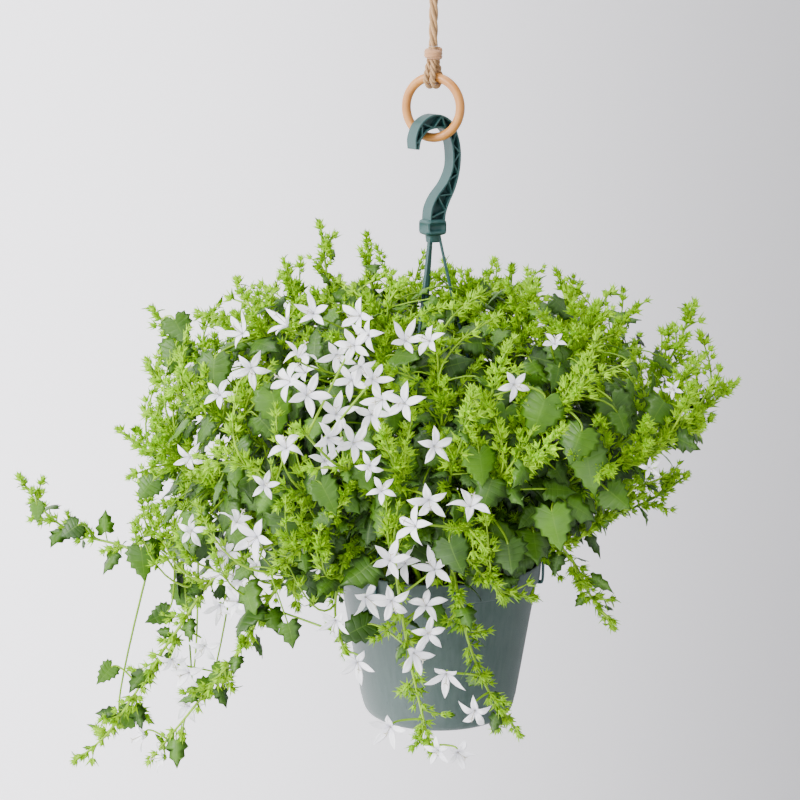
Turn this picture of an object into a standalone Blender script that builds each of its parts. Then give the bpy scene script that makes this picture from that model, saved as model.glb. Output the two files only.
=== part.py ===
"""Campanula hanging basket: a white star-flowered campanula in a plastic hanging pot.

The pot hangs by a moulded three-armed hook from a wooden ring on a jute rope.
Metres, +Z up. The origin is the point that holds the rope; the pot hangs 0.56 m below it.
Azimuth 0 is seen along +Y, so +X is to the right and +Y is away.
"""

import math

import bmesh
import bpy
import numpy as np
from mathutils import Matrix, Vector

MM = 0.001
SEED = 21
GAP = 0.3

# Driving dimensions, in millimetres
POT_AXIS_X = 4.5
POT_RIM_RADIUS = 75.0
POT_HEIGHT = 115.0
POT_BASE_RADIUS = 48.0
POT_FOOT_RADIUS = 58.0
POT_SHOULDER_RADIUS = 71.5
POT_BAND_HEIGHT = 14.5
POT_WALL = 1.5
POT_SIDES = 24
POT_BASE_Z = -561.0
SOIL_DEPTH_BELOW_RIM = 13.0
ROOT_DEPTH = 12.0
ROOT_CIRCLE = 60.0

RING_RADIUS = 20.9
RING_TUBE = 3.2
RING_CENTRE = (-0.5, -0.4, -122.4)
RING_TURN = math.radians(-27)

HOOK_TURN = math.radians(29)
HOOK_DEPTH = 12.4
HOOK_FLANGE = 1.3
HOOK_WEB = 2.2
COLLAR_SIDE = 14.5
COLLAR_TOP_Z = -200.0
COLLAR_HEIGHT = 11.5
ARM_WIDTH = 3.3
ARM_THICKNESS = 2.2
ARM_ANGLES = [math.radians(angle) for angle in (-8, 112, -128)]

ROPE_RADIUS = 3.1
ROPE_TOP_Z = -13.0
WHIPPING_TOP_Z = -80.7
WHIPPING_HEIGHT = 9.4
WHIPPING_RADIUS = 6.5
THROAT_RADIUS = 4.6
EYE_STRAND = 2.3

STEM_RADIUS = 1.5
STEM_TIP_RADIUS = 1.0
STEM_SLACK = 2.4
STALK_RADIUS = 0.85
STALK_FOOT = 0.4
BLADE = 0.9
PETAL_REACH = 13.0

# The photograph's view, which turns a place in its 800 x 800 frame and a depth into a real place
VIEW_DISTANCE = 1500.0
VIEW_PITCH = math.radians(11)
VIEW_WIDTH = 0.3814
VIEW_TARGET = (-23.5, 0.0, -330.0)
FRAME = 800

POT_RIM_Z = POT_BASE_Z + POT_HEIGHT
SOIL_Z = POT_RIM_Z - SOIL_DEPTH_BELOW_RIM
POT_AXIS = np.array([POT_AXIS_X, 0.0, 0.0])

# Leafy stems that the photograph shows: places (across, down, depth) from the crown to the tip
SEEN_STEMS = [
    [(340, 515, -30), (250, 545, -30), (160, 558, -20), (120, 545, -10), (75, 533, 0), (45, 512, 0), (20, 478, 0)],
    [(340, 525, -45), (270, 545, -60), (215, 577, -60), (183, 622, -55), (160, 655, -50), (110, 730, -40), (77, 760, -40)],
    [(345, 530, -60), (300, 560, -84), (265, 605, -85), (243, 645, -80), (190, 712, -70), (150, 760, -60)],
    [(330, 500, 10), (270, 530, 20), (215, 515, 30), (170, 470, 30), (119, 430, 30)],
    [(330, 490, -40), (250, 500, -50), (200, 475, -50), (171, 425, -40)],
    [(345, 480, 30), (290, 440, 40), (230, 395, 30), (190, 350, 20), (153, 310, 20)],
    [(345, 480, -30), (270, 450, -60), (205, 410, -70), (165, 385, -65), (148, 362, -60)],
    [(350, 480, 60), (290, 410, 60), (250, 350, 60), (224, 315, 60)],
    [(360, 470, -10), (300, 400, -30), (262, 330, -25), (237, 281, -20)],
    [(365, 470, 30), (325, 390, 25), (300, 310, 20), (284, 261, 20)],
    [(375, 480, 0), (345, 400, -5), (335, 340, 0), (327, 275, 0), (320, 226, 0)],
    [(385, 480, 50), (375, 400, 40), (378, 330, 40), (372, 285, 40), (367, 238, 40)],
    [(390, 490, -60), (382, 400, -70), (386, 330, -65), (392, 276, -60)],
    [(420, 480, 60), (416, 400, 70), (412, 300, 60)],
    [(455, 480, 30), (465, 400, 30), (468, 330, 30), (469, 273, 30)],
    [(470, 480, 60), (495, 400, 65), (508, 330, 60), (512, 269, 60)],
    [(465, 480, -20), (500, 400, -30), (525, 330, -25), (537, 283, -20)],
    [(480, 480, 50), (530, 400, 55), (560, 340, 55), (575, 295, 50)],
    [(480, 490, -50), (540, 420, -60), (580, 350, -55), (597, 303, -50)],
    [(480, 490, 0), (550, 430, 0), (600, 370, 0), (618, 321, 0)],
    [(490, 500, 20), (570, 460, 20), (640, 400, 20), (675, 350, 20), (694, 304, 20)],
    [(490, 500, -50), (570, 470, -60), (640, 430, -60), (700, 360, -50)],
    [(500, 510, 0), (590, 490, 0), (660, 450, 0), (705, 410, 0), (736, 381, 0)],
    [(500, 510, -60), (580, 480, -85), (650, 450, -85), (700, 412, -70)],
    [(500, 520, 40), (590, 520, 40), (650, 500, 40), (683, 476, 40)],
    [(490, 525, -40), (540, 545, -50), (590, 525, -40), (641, 496, -30)],
    [(500, 520, -60), (545, 535, -80), (572, 560, -75), (590, 595, -65), (613, 627, -60)],
    [(400, 520, -90), (395, 555, -115), (400, 600, -112), (410, 660, -105), (431, 752, -105)],
    [(440, 520, -95), (455, 580, -112), (468, 640, -105), (488, 690, -98), (518, 733, -90)],
    [(450, 515, -90), (470, 560, -118), (500, 590, -118), (533, 598, -110)],
    [(370, 520, -80), (345, 560, -110), (335, 610, -112), (345, 655, -105)],
    [(500, 470, -90), (560, 410, -125), (592, 378, -130)],
    [(440, 450, -100), (438, 390, -112), (440, 330, -110)],
    [(470, 460, -110), (490, 400, -130), (506, 350, -130)],
    [(490, 490, -120), (530, 460, -155), (562, 430, -170)],
    [(450, 480, -125), (462, 440, -155), (470, 398, -170)],
    [(370, 490, -125), (330, 460, -155), (300, 428, -165)],
    [(350, 500, -110), (290, 490, -135), (248, 468, -140)],
    [(460, 525, -125), (475, 535, -155), (484, 548, -165)],
    [(405, 490, -130), (392, 460, -155), (382, 428, -168)],
    [(350, 525, -105), (305, 545, -130), (270, 572, -130)],
]

# Stems round the back, which the photograph hides: (azimuth in degrees, reach, tip height)
HIDDEN_STEMS = [
    (14, 190, -395), (28, 150, -300), (41, 205, -340), (55, 165, -470), (68, 135, -262), (81, 195, -310),
    (95, 175, -500), (108, 150, -275), (122, 200, -350), (137, 180, -440), (152, 165, -300),
]

# Blooms in the sprays that the photograph shows: (across, down, reach as a share of the usual one)
BLOOM_SPRAYS = [
    [(240, 332, 1.0), (251, 369, 1.0), (219, 394, 0.9)],
    [(284, 323, 1.05), (313, 312, 1.0), (300, 353, 1.0), (286, 381, 1.1)],
    [(357, 316, 1.05), (366, 335, 1.0), (354, 344, 1.0), (362, 367, 0.9), (375, 376, 0.9)],
    [(309, 392, 1.15), (300, 374, 1.0), (336, 358, 1.0), (350, 381, 1.0)],
    [(336, 413, 1.1), (332, 436, 1.1), (355, 443, 1.1), (371, 417, 1.0)],
    [(380, 401, 1.0), (403, 401, 1.1)],
    [(406, 339, 1.0), (428, 339, 0.9)],
    [(286, 446, 1.0)],
    [(325, 463, 1.0)],
    [(370, 466, 0.8), (382, 490, 0.8)],
    [(436, 446, 1.0)],
    [(555, 342, 0.7)],
    [(515, 385, 0.9)],
    [(471, 503, 1.15)],
    [(673, 389, 0.6)],
    [(650, 468, 0.6)],
    [(429, 502, 1.1), (412, 522, 1.1)],
    [(390, 559, 1.1), (403, 564, 1.1), (434, 567, 1.1)],
    [(368, 599, 1.1), (392, 599, 1.1), (426, 604, 1.0)],
    [(321, 570, 0.6)],
    [(335, 622, 1.0), (357, 663, 1.0)],
    [(429, 631, 1.0), (416, 649, 1.1)],
    [(446, 677, 1.1), (475, 713, 1.0)],
    [(389, 729, 1.05)],
    [(459, 754, 0.9), (437, 745, 0.8)],
    [(238, 520, 1.0), (255, 537, 1.2), (225, 553, 1.1), (191, 531, 0.9)],
    [(221, 572, 1.0), (236, 582, 1.0), (256, 566, 0.8), (236, 600, 1.1), (250, 613, 1.1), (219, 609, 0.9)],
    [(204, 648, 0.9), (186, 674, 1.1), (174, 659, 0.9), (186, 709, 1.0)],
    [(141, 735, 0.9), (161, 756, 0.8)],
    [(265, 485, 0.8)],
    [(189, 459, 0.9)],
]

# Blooms round the back: (azimuth in degrees, reach, height)
HIDDEN_BLOOMS = [
    (30, 140, -320), (62, 150, -330), (88, 160, -400), (112, 150, -330), (140, 170, -370), (160, 150, -330),
]

# Large leaves that the photograph shows: (across, down, length, turn of the tip from straight down)
LARGE_LEAVES = [
    (538, 418, 34, -10), (503, 428, 30, -5), (589, 474, 38, 15), (622, 418, 32, 30), (522, 388, 28, -30),
    (556, 532, 34, 5), (574, 448, 30, -20), (319, 590, 36, -25), (296, 582, 30, -35), (352, 566, 34, 60),
    (286, 531, 30, 10), (384, 521, 30, -30), (351, 632, 32, -70), (212, 378, 32, -15), (277, 413, 34, 20),
    (181, 332, 24, 30), (173, 360, 26, -20), (206, 546, 36, 60), (186, 602, 28, 10), (143, 566, 28, 10),
    (156, 618, 22, -60), (195, 691, 24, -80), (223, 674, 18, 80), (104, 676, 20, -50), (130, 720, 22, 60),
    (38, 514, 16, 5), (69, 531, 18, -60), (145, 490, 20, -40), (482, 470, 28, 0), (455, 560, 30, 20),
    (510, 560, 26, 10), (410, 470, 28, -20), (440, 620, 22, 40), (330, 500, 28, 20), (620, 500, 24, 50),
]


def in_photo(across, down, depth):
    """The real place, in millimetres, of a point of the photograph that lies so far behind the hook."""
    cosine, sine = math.cos(VIEW_PITCH), math.sin(VIEW_PITCH)
    climb = (FRAME / 2 - down) / FRAME * VIEW_WIDTH
    height = (climb * (VIEW_DISTANCE + depth * cosine) - depth * sine) / (cosine + climb * sine)
    away = VIEW_DISTANCE + depth * cosine - height * sine
    side = (across - FRAME / 2) / FRAME * VIEW_WIDTH * away
    return np.array([VIEW_TARGET[0] + side, depth, VIEW_TARGET[2] + height])


def front_depth(across, down):
    """How far behind the hook the front of the bush lies there: a dome, and a curtain before the pot."""
    if down > 560 and 330 < across < 540:
        return -112.0
    if down > 540 and across <= 330:
        return -62.0
    dome = 1 - ((across - 430) / 320) ** 2 - ((down - 490) / 235) ** 2
    return -165 * math.sqrt(max(dome, 0.09))


def unit(vector):
    return np.asarray(vector, float) / np.linalg.norm(vector)


def smooth_path(points, step):
    """Even points along a Catmull-Rom curve through the given ones."""
    ends = np.vstack([2 * points[0] - points[1], points, 2 * points[-1] - points[-2]])
    share = np.linspace(0, 1, 16, endpoint=False)[:, None]
    pieces = []
    for a, b, c, d in zip(ends[:-3], ends[1:-2], ends[2:-1], ends[3:]):
        cubic = 2 * b + (c - a) * share + (2 * a - 5 * b + 4 * c - d) * share**2
        pieces.append((cubic + (3 * b - a - 3 * c + d) * share**3) / 2)
    dense = np.vstack(pieces + [points[-1:]])
    run = np.concatenate([[0], np.cumsum(np.linalg.norm(np.diff(dense, axis=0), axis=1))])
    even = np.linspace(0, run[-1], max(int(run[-1] / step), 3) + 1)
    return np.column_stack([np.interp(even, run, dense[:, axis]) for axis in range(3)])


def arm_path(angle):
    """One arm's middle line, from inside the collar, bowing out to the rim and over it to its toe."""
    collar_end = COLLAR_TOP_Z - COLLAR_HEIGHT
    heights = [collar_end + 4, collar_end - 6, -271, -309, -360, -410, POT_RIM_Z + 9]
    reaches = [4.0, 5.2, 16.5, 26.5, 43.0, 60.5, 72.0]
    points = []
    for height, reach in zip(heights, reaches):
        share = (collar_end - height) / (collar_end - POT_RIM_Z)
        drift = POT_AXIS_X * min(max(share, 0), 1)
        points.append((drift + reach * math.cos(angle), reach * math.sin(angle), height))
    return np.array(points)


# The plan of the plant, in millimetres

STEP = 5.0
ARM = -1
HEAD = -2
NOBODY = -3


def sampled(line, gap):
    """Points along a line of straight runs, no further apart than gap."""
    pieces = [line[:1]]
    for a, b in zip(line[:-1], line[1:]):
        count = int(np.linalg.norm(b - a) / gap) + 1
        pieces.append(a + (b - a) * (np.arange(1, count + 1) / count)[:, None])
    return np.vstack(pieces)


def thinned(path, slack):
    """Only the points that a path needs to stay within slack of its own line."""
    if len(path) < 3:
        return path
    run = unit(path[-1] - path[0])
    off = path - path[0]
    off = np.linalg.norm(off - np.outer(off @ run, run), axis=1)
    worst = int(off.argmax())
    if off[worst] < slack:
        return path[[0, -1]]
    return np.vstack([thinned(path[:worst + 1], slack)[:-1], thinned(path[worst:], slack)])


class Stem:
    """A stem's line, and the places along it where a stalk may still start."""

    def __init__(self, line):
        self.line = line
        self.rail = sampled(line, 1.5)
        self.free = np.ones(len(self.rail), bool)
        self.free[:15] = False
        self.free[-3:] = False

    def foot(self, wish):
        gaps = np.linalg.norm(self.rail - wish, axis=1)
        return int(np.where(self.free, gaps, 1e6).argmin())

    def at(self, share):
        """The place a share of the way along, and the stem's direction there."""
        spot = int(share * (len(self.rail) - 1))
        low, high = max(spot - 4, 0), min(spot + 4, len(self.rail) - 1)
        return self.rail[spot], unit(self.rail[high] - self.rail[low])

    def take(self, spot):
        self.free[max(spot - 1, 0):spot + 2] = False


class Crowd:
    """Balls that stand for what is placed already, each with the number of the stem that owns it."""

    def __init__(self):
        self.centres = np.zeros((0, 3))
        self.radii = np.zeros(0)
        self.owners = np.zeros(0, int)

    def add(self, centres, radii, owner):
        self.centres = np.vstack([self.centres, centres])
        self.radii = np.concatenate([self.radii, np.broadcast_to(radii, len(centres))])
        self.owners = np.concatenate([self.owners, np.full(len(centres), owner)])

    def is_clear(self, centres, radii, owner=NOBODY):
        others = self.owners != owner
        near = (np.abs(self.centres - centres.mean(axis=0)) < 90).all(axis=1)
        others &= near
        apart = np.linalg.norm(centres[:, None] - self.centres[others][None], axis=2)
        reach = np.broadcast_to(radii, len(centres))[:, None] + self.radii[others][None]
        return bool((apart > reach + GAP).all() and clear_of_pot(centres, radii))

    def fits(self, head, stalk, owner):
        """Whether an organ's head clears everything, and its stalk all but its own stem."""
        return self.is_clear(*head) and self.is_clear(*stalk, owner)

    def keep(self, head, stalk, owner):
        self.add(*head, HEAD)
        self.add(*stalk, owner)


def clear_of_pot(centres, radii):
    """Whether balls stay over the rim or outside the wall."""
    from_axis = np.linalg.norm((centres - POT_AXIS)[:, :2], axis=1)
    above = centres[:, 2] - radii > POT_RIM_Z + 2
    outside = from_axis - radii > POT_RIM_RADIUS + 2
    return bool((above | outside).all())


def root_places(count):
    """Places for the stems in the soil, on a sunflower spiral."""
    order = np.arange(count)
    reach = ROOT_CIRCLE * np.sqrt((order + 0.5) / count)
    turn = order * math.radians(137.5)
    flat = np.column_stack([POT_AXIS_X + reach * np.cos(turn), reach * np.sin(turn)])
    return np.column_stack([flat, np.full(count, SOIL_Z)])


def stem_routes():
    """The points that each stem passes, from its root in the soil to its tip."""
    routes = [np.array([in_photo(*place) for place in stem]) for stem in SEEN_STEMS]
    for azimuth, reach, height in HIDDEN_STEMS:
        out = np.array([math.cos(math.radians(azimuth)), math.sin(math.radians(azimuth)), 0])
        knee = POT_AXIS + out * reach * 0.52 + [0, 0, max(height, -420) - 25]
        shoulder = POT_AXIS + out * reach * 0.85 + [0, 0, max(height, -430) - 5]
        tip = POT_AXIS + out * reach + [0, 0, height]
        routes.append(np.array([knee, shoulder, tip]))
    free = list(root_places(len(routes)))
    order = sorted(range(len(routes)), key=lambda k: -np.linalg.norm((routes[k][0] - POT_AXIS)[:2]))
    for k in order:
        wish = POT_AXIS + 0.75 * (routes[k][0] - POT_AXIS)
        nearest = min(range(len(free)), key=lambda r: np.linalg.norm((free[r] - wish)[:2]))
        root = free.pop(nearest)
        lean = (routes[k][0] - root) * [0.12, 0.12, 0]
        start = [root - [0, 0, ROOT_DEPTH], root, root + lean + [0, 0, 22]]
        routes[k] = np.vstack([start, routes[k]])
    return routes


def spread_stems(paths, arms, rounds=36, apart=8.0):
    """Pushes lines apart where two come nearest, until the stems clear each other and the hanger's arms."""
    lines = list(paths) + list(arms)
    owners = np.concatenate([np.full(len(line), k) for k, line in enumerate(lines)])
    starts = np.cumsum([0] + [len(line) for line in lines])
    places = np.vstack(lines)
    held = np.concatenate([np.arange(len(line)) < 4 if k < len(paths) else np.full(len(line), True)
                           for k, line in enumerate(lines)])
    hat = [(0, 1.0), (1, 0.8), (-1, 0.8), (2, 0.5), (-2, 0.5), (3, 0.25), (-3, 0.25)]
    for _ in range(rounds):
        squares = (places**2).sum(axis=1)
        gaps = np.sqrt(np.maximum(squares[:, None] + squares[None] - 2 * places @ places.T, 1e-6))
        nearest = np.minimum.reduceat(np.minimum.reduceat(gaps, starts[:-1], axis=0), starts[:-1], axis=1)
        push = np.zeros_like(places)
        for k, other in zip(*np.where(np.triu(nearest < apart, 1))):
            block = gaps[starts[k]:starts[k + 1], starts[other]:starts[other + 1]]
            i, j = np.unravel_index(block.argmin(), block.shape)
            i, j = i + starts[k], j + starts[other]
            away = places[i] - places[j]
            if block.min() < 2.0:
                runs = [places[min(n + 1, starts[owners[n] + 1] - 1)] - places[max(n - 1, starts[owners[n]])]
                        for n in (i, j)]
                away = np.cross(*runs) + 1e-3
            step = unit(away) * 0.35 * (apart - block.min())
            for number, weight in hat:
                if starts[k] <= i + number < starts[k + 1]:
                    push[i + number] += weight * step
                if starts[other] <= j + number < starts[other + 1]:
                    push[j + number] -= weight * step
        push[held] = 0
        places += push
        flat = places - POT_AXIS
        from_axis = np.linalg.norm(flat[:, :2], axis=1)
        low = (places[:, 2] < POT_RIM_Z + 7) & ~held
        rim = low & (from_axis > 64) & (from_axis < POT_RIM_RADIUS + 8)
        places[rim & (places[:, 2] > POT_RIM_Z - 30), 2] += 1.5
        outward = flat[rim] / from_axis[rim, None]
        places[rim, :2] += 1.0 * outward[:, :2]
    return [places[starts[k]:starts[k + 1]] for k in range(len(paths))]


def stalk_to(stem, wish, neck, facing):
    """(spot, points) of a stalk from the stem near wish, bent once, that meets its organ's neck straight on."""
    spot = stem.foot(wish)
    foot = stem.rail[spot]
    length = np.linalg.norm(neck - foot)
    if length < 3.5:
        return None
    if length < 14:
        points = np.array([foot, neck])
    else:
        points = np.array([foot, neck - min(7.0, 0.35 * length) * facing, neck])
    run = unit(points[1] - foot)
    if run @ facing < (0.35 if length < 14 else -0.25):
        return None
    return spot, points


def stalk_balls(stalk):
    points = sampled(stalk, 2.0)
    return points, np.full(len(points), STALK_RADIUS + 0.45)


def across_to(along, facing):
    """The unit side direction of an organ, and its facing made square to its length."""
    side = unit(np.cross(along, facing))
    return side, np.cross(side, along)


def bloom_balls(place, facing, reach):
    side = unit(np.cross(facing, [0.3, 0.1, 1.0]))
    other = np.cross(facing, side)
    turns = np.arange(5) * 2 * math.pi / 5
    tips = place + reach * 0.72 * (np.outer(np.cos(turns), side) + np.outer(np.sin(turns), other))
    return np.vstack([place[None], tips]), np.array([0.42] + [0.30] * 5) * reach


def leaf_balls(place, along, facing, length):
    side, _ = across_to(along, facing)
    spots = [(0.05, 0), (0.3, 0.25), (0.3, -0.25), (0.6, 0.14), (0.6, -0.14), (0.85, 0)]
    centres = np.array([place + length * (up * along + out * side) for up, out in spots])
    return centres, np.array([0.17, 0.21, 0.21, 0.19, 0.19, 0.13]) * length


def bud_balls(place, facing, size):
    return np.array([place + 0.3 * size * facing]), np.array([0.78 * size])


def nearest_stems(stems, place, count):
    """The numbers of the stems nearest to a place, the nearest first."""
    gaps = [np.linalg.norm(stem.rail[stem.free] - place, axis=1).min() for stem in stems]
    return [int(k) for k in np.argsort(gaps)[:count]]


def plan_blooms(stems, crowd, draw):
    """Every bloom hangs on a stem near its spray, and moves along the line of sight until it is clear."""
    middle = POT_AXIS + [0, 30, -430]
    sprays = []
    for spray in BLOOM_SPRAYS:
        sight = unit([0, -1, 0.12])
        places = [in_photo(across, down, front_depth(across, down) - 4) for across, down, _ in spray]
        sprays.append((places, [share * PETAL_REACH for _, _, share in spray], sight))
    for azimuth, reach, height in HIDDEN_BLOOMS:
        out = np.array([math.cos(math.radians(azimuth)), math.sin(math.radians(azimuth)), 0.2])
        sprays.append(([POT_AXIS + out * reach + [0, 0, height]], [PETAL_REACH], unit(out)))
    organs = []
    for places, reaches, sight in sprays:
        carriers = nearest_stems(stems, np.mean(places, axis=0) - 25 * sight, 6)
        for place, reach in zip(places, reaches):
            facing = unit(0.5 * unit(place - middle) + 0.8 * sight + 0.30 * draw.normal(size=3))
            bloom = plan_bloom(stems, carriers, crowd, place, facing, reach, sight)
            if bloom:
                organs.append(bloom)
    return organs


def plan_bloom(stems, carriers, crowd, place, facing, reach, sight):
    for shift in (0, 5, -5, 10, -10, 16, -16, 22, -22, 28, 34, -30, -38, 42, -46, 50, 60, 72):
        spot = place + shift * sight
        head = bloom_balls(spot, facing, reach)
        if not crowd.is_clear(*head):
            continue
        for k in carriers:
            planned = stalk_to(stems[k], spot - 26 * facing - [0, 0, 8], spot - 0.45 * reach * facing, facing)
            if not planned:
                continue
            foot, stalk = planned
            run = stalk_balls(stalk)
            if crowd.is_clear(*run, k):
                crowd.keep(head, run, k)
                stems[k].take(foot)
                return {"kind": "bloom", "stem": k, "stalk": stalk, "place": spot, "facing": facing, "size": reach}
    return None


def plan_leaf(stems, carriers, crowd, wish, place, along, facing, length):
    """A leaf whose petiole comes from the nearest of the stems that lets it through."""
    head = leaf_balls(place, along, facing, length)
    if not crowd.is_clear(*head):
        return None
    for k in carriers:
        planned = stalk_to(stems[k], wish, place, along)
        if not planned:
            continue
        foot, stalk = planned
        run = stalk_balls(stalk)
        if crowd.is_clear(*run, k):
            crowd.keep(head, run, k)
            stems[k].take(foot)
            leaf = {"kind": "leaf", "stem": k, "stalk": stalk, "place": place}
            return leaf | {"along": along, "facing": facing, "size": length}
    return None


def plan_large_leaves(stems, crowd, draw):
    organs = []
    for across, down, length, turn in LARGE_LEAVES:
        angle = math.radians(turn)
        depth = front_depth(across, down)
        for behind in (14, 22, 6, 30, 40, -4, 52, 64, 76):
            tilt = draw.normal(size=2) * 0.12
            centre = in_photo(across, down, depth + behind)
            along = unit([math.sin(angle) + tilt[0], -0.35, -math.cos(angle)])
            _, facing = across_to(along, unit([tilt[1], -1.0, 0.45]))
            place = centre - along * length * 0.4
            wish = place - 9 * along - 16 * facing
            carriers = nearest_stems(stems, wish, 5)
            leaf = plan_leaf(stems, carriers, crowd, wish, place, along, facing, length)
            if leaf:
                organs.append(leaf)
                break
    return organs


def plan_stem_leaves(stems, crowd, draw):
    """A smaller leaf or two up each stem, by turns of the golden angle, where there is room."""
    organs = []
    for k, stem in enumerate(stems):
        for number, share in enumerate((0.42, 0.68) if k % 5 == 0 else (0.55,)):
            spot, run = stem.at(share)
            outward = unit((spot - POT_AXIS) * [1, 1, 0.1] + [0, 0, 20])
            length = (27, 20)[number] * draw.uniform(0.85, 1.15)
            for attempt in range(6):
                turn = 2.4 * (number + attempt) + k
                side = unit(np.cross(run, outward))
                around = unit(math.cos(turn) * side + math.sin(turn) * np.cross(run, side))
                place = spot + around * length * 0.6 + [0, 0, 3]
                along = unit(around + 0.25 * run + [0, 0, -0.45])
                _, facing = across_to(along, unit(outward + [0, 0, 0.8]))
                leaf = plan_leaf(stems, [k], crowd, spot, place, along, facing, length)
                if leaf:
                    organs.append(leaf)
                    break
    return organs


def plan_tips(stems, crowd):
    """The spiky bud that ends each stem."""
    organs = []
    for k, stem in enumerate(stems):
        run = unit(stem.line[-1] - stem.line[-2])
        crowd.add(*bud_balls(stem.line[-1] + 2 * run, run, 7.5), HEAD)
        organs.append({"kind": "tip", "stem": k, "place": stem.line[-1], "facing": run, "size": 7.5})
    return organs


def plan_buds(stems, crowd, draw):
    """A spiky bud or two on short shoots under each stem's tip."""
    organs = []
    for k, stem in enumerate(stems):
        last = len(stem.rail) - 1
        for number, back in enumerate((18,) if k % 3 else ()):
            spot, run = stem.at(max(last - back / 1.5, 16) / last)
            for attempt in range(5):
                turn = 2.4 * (number + attempt) + 1.7 * k
                side = unit(np.cross(run, [0.2, 0.3, 1.0]))
                around = math.cos(turn) * side + math.sin(turn) * np.cross(run, side)
                facing = unit(around + 0.9 * run)
                place = spot + facing * draw.uniform(10, 13)
                head = bud_balls(place, facing, 7.0)
                planned = stalk_to(stem, spot, place - 2.4 * facing, facing)
                if planned and crowd.fits(head, stalk_balls(planned[1]), k):
                    crowd.keep(head, stalk_balls(planned[1]), k)
                    stem.take(planned[0])
                    bud = {"kind": "bud", "stem": k, "stalk": planned[1], "place": place}
                    organs.append(bud | {"facing": facing, "size": 7.0})
                    break
    return organs


def grow():
    """The whole plan: the stems, and every bloom, leaf and bud on them."""
    draw = np.random.default_rng(SEED)
    arms = [smooth_path(arm_path(angle), 3.0) for angle in ARM_ANGLES]
    paths = spread_stems([smooth_path(route, STEP) for route in stem_routes()], arms)
    surface_up = [0, 0, ROOT_DEPTH + 2.5]
    stems = [Stem(np.vstack([path[0], path[0] + surface_up, thinned(path[4:], STEM_SLACK)])) for path in paths]
    crowd = Crowd()
    crowd.add(np.vstack(arms), 3.0, ARM)
    for k, stem in enumerate(stems):
        crowd.add(stem.rail, STEM_RADIUS + 0.4, k)
    organs = plan_tips(stems, crowd)
    organs += plan_blooms(stems, crowd, draw)
    organs += plan_large_leaves(stems, crowd, draw)
    organs += plan_buds(stems, crowd, draw)
    organs += plan_stem_leaves(stems, crowd, draw)
    return stems, organs


# Making solids


def surface(name, colour, roughness):
    """A plain material with the part's colour."""
    made = bpy.data.materials.new(name)
    made.use_nodes = True
    shader = made.node_tree.nodes["Principled BSDF"]
    shader.inputs["Base Color"].default_value = (*colour, 1)
    shader.inputs["Roughness"].default_value = roughness
    shader.inputs["Metallic"].default_value = 0
    return made


def solid(name, points, faces, material):
    """An object from points in millimetres and faces."""
    mesh = bpy.data.meshes.new(name)
    mesh.from_pydata([Vector(point) * MM for point in points], [], faces)
    mesh.materials.append(material)
    made = bpy.data.objects.new(name, mesh)
    bpy.context.scene.collection.objects.link(made)
    return made


def face_outwards(obj):
    shape = bmesh.new()
    shape.from_mesh(obj.data)
    bmesh.ops.recalc_face_normals(shape, faces=shape.faces)
    shape.to_mesh(obj.data)
    shape.free()


def shade_round(obj, angle=40):
    obj.data.shade_smooth()
    obj.data.set_sharp_from_angle(angle=math.radians(angle))


def turned(name, profile, sides, material, centre=(0, 0)):
    """A closed profile of (radius, height) points, spun about the vertical through centre."""
    shape = bmesh.new()
    corners = [shape.verts.new(Vector((radius, 0, height)) * MM) for radius, height in profile]
    edges = [shape.edges.new(pair) for pair in zip(corners, corners[1:])]
    if min(profile[0][0], profile[-1][0]) > 0:
        edges.append(shape.edges.new((corners[-1], corners[0])))
    bmesh.ops.spin(
        shape, geom=corners + edges, axis=(0, 0, 1), cent=(0, 0, 0), steps=sides, angle=2 * math.pi
    )
    bmesh.ops.remove_doubles(shape, verts=shape.verts, dist=1e-6)
    bmesh.ops.recalc_face_normals(shape, faces=shape.faces)
    bmesh.ops.translate(shape, verts=shape.verts, vec=Vector((*centre, 0)) * MM)
    mesh = bpy.data.meshes.new(name)
    shape.to_mesh(mesh)
    shape.free()
    mesh.materials.append(material)
    made = bpy.data.objects.new(name, mesh)
    bpy.context.scene.collection.objects.link(made)
    shade_round(made)
    return made


def sweep_points(path, widths, heights, sides, up):
    """Rings round a path: an oval of sides corners, or a rectangle where sides is 4."""
    path = np.asarray(path, float)
    run = np.gradient(path, axis=0)
    run /= np.linalg.norm(run, axis=1)[:, None]
    across = np.cross(run, up)
    across /= np.linalg.norm(across, axis=1)[:, None]
    over = np.cross(across, run)
    turns = (np.arange(sides) + 0.5) * 2 * math.pi / sides
    grow_to = math.sqrt(2) if sides == 4 else 1
    out = np.cos(turns)[None, :, None] * across[:, None] * np.reshape(widths, (-1, 1, 1))
    rise = np.sin(turns)[None, :, None] * over[:, None] * np.reshape(heights, (-1, 1, 1))
    return (path[:, None] + grow_to * (out + rise)).reshape(-1, 3)


def tube_faces(rings, sides):
    faces = []
    for ring in range(rings - 1):
        for side in range(sides):
            a = ring * sides + side
            b = ring * sides + (side + 1) % sides
            faces.append((a, b, b + sides, a + sides))
    faces.append(tuple(range(sides))[::-1])
    faces.append(tuple(range((rings - 1) * sides, rings * sides)))
    return faces


def sweep(name, path, widths, heights, sides, material, up=(0.0, 0.0, 1.0)):
    rings = len(path)
    widths = np.broadcast_to(widths, rings)
    heights = np.broadcast_to(heights, rings)
    points = sweep_points(path, widths, heights, sides, np.asarray(up, float))
    made = solid(name, points, tube_faces(rings, sides), material)
    face_outwards(made)
    return made


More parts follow.
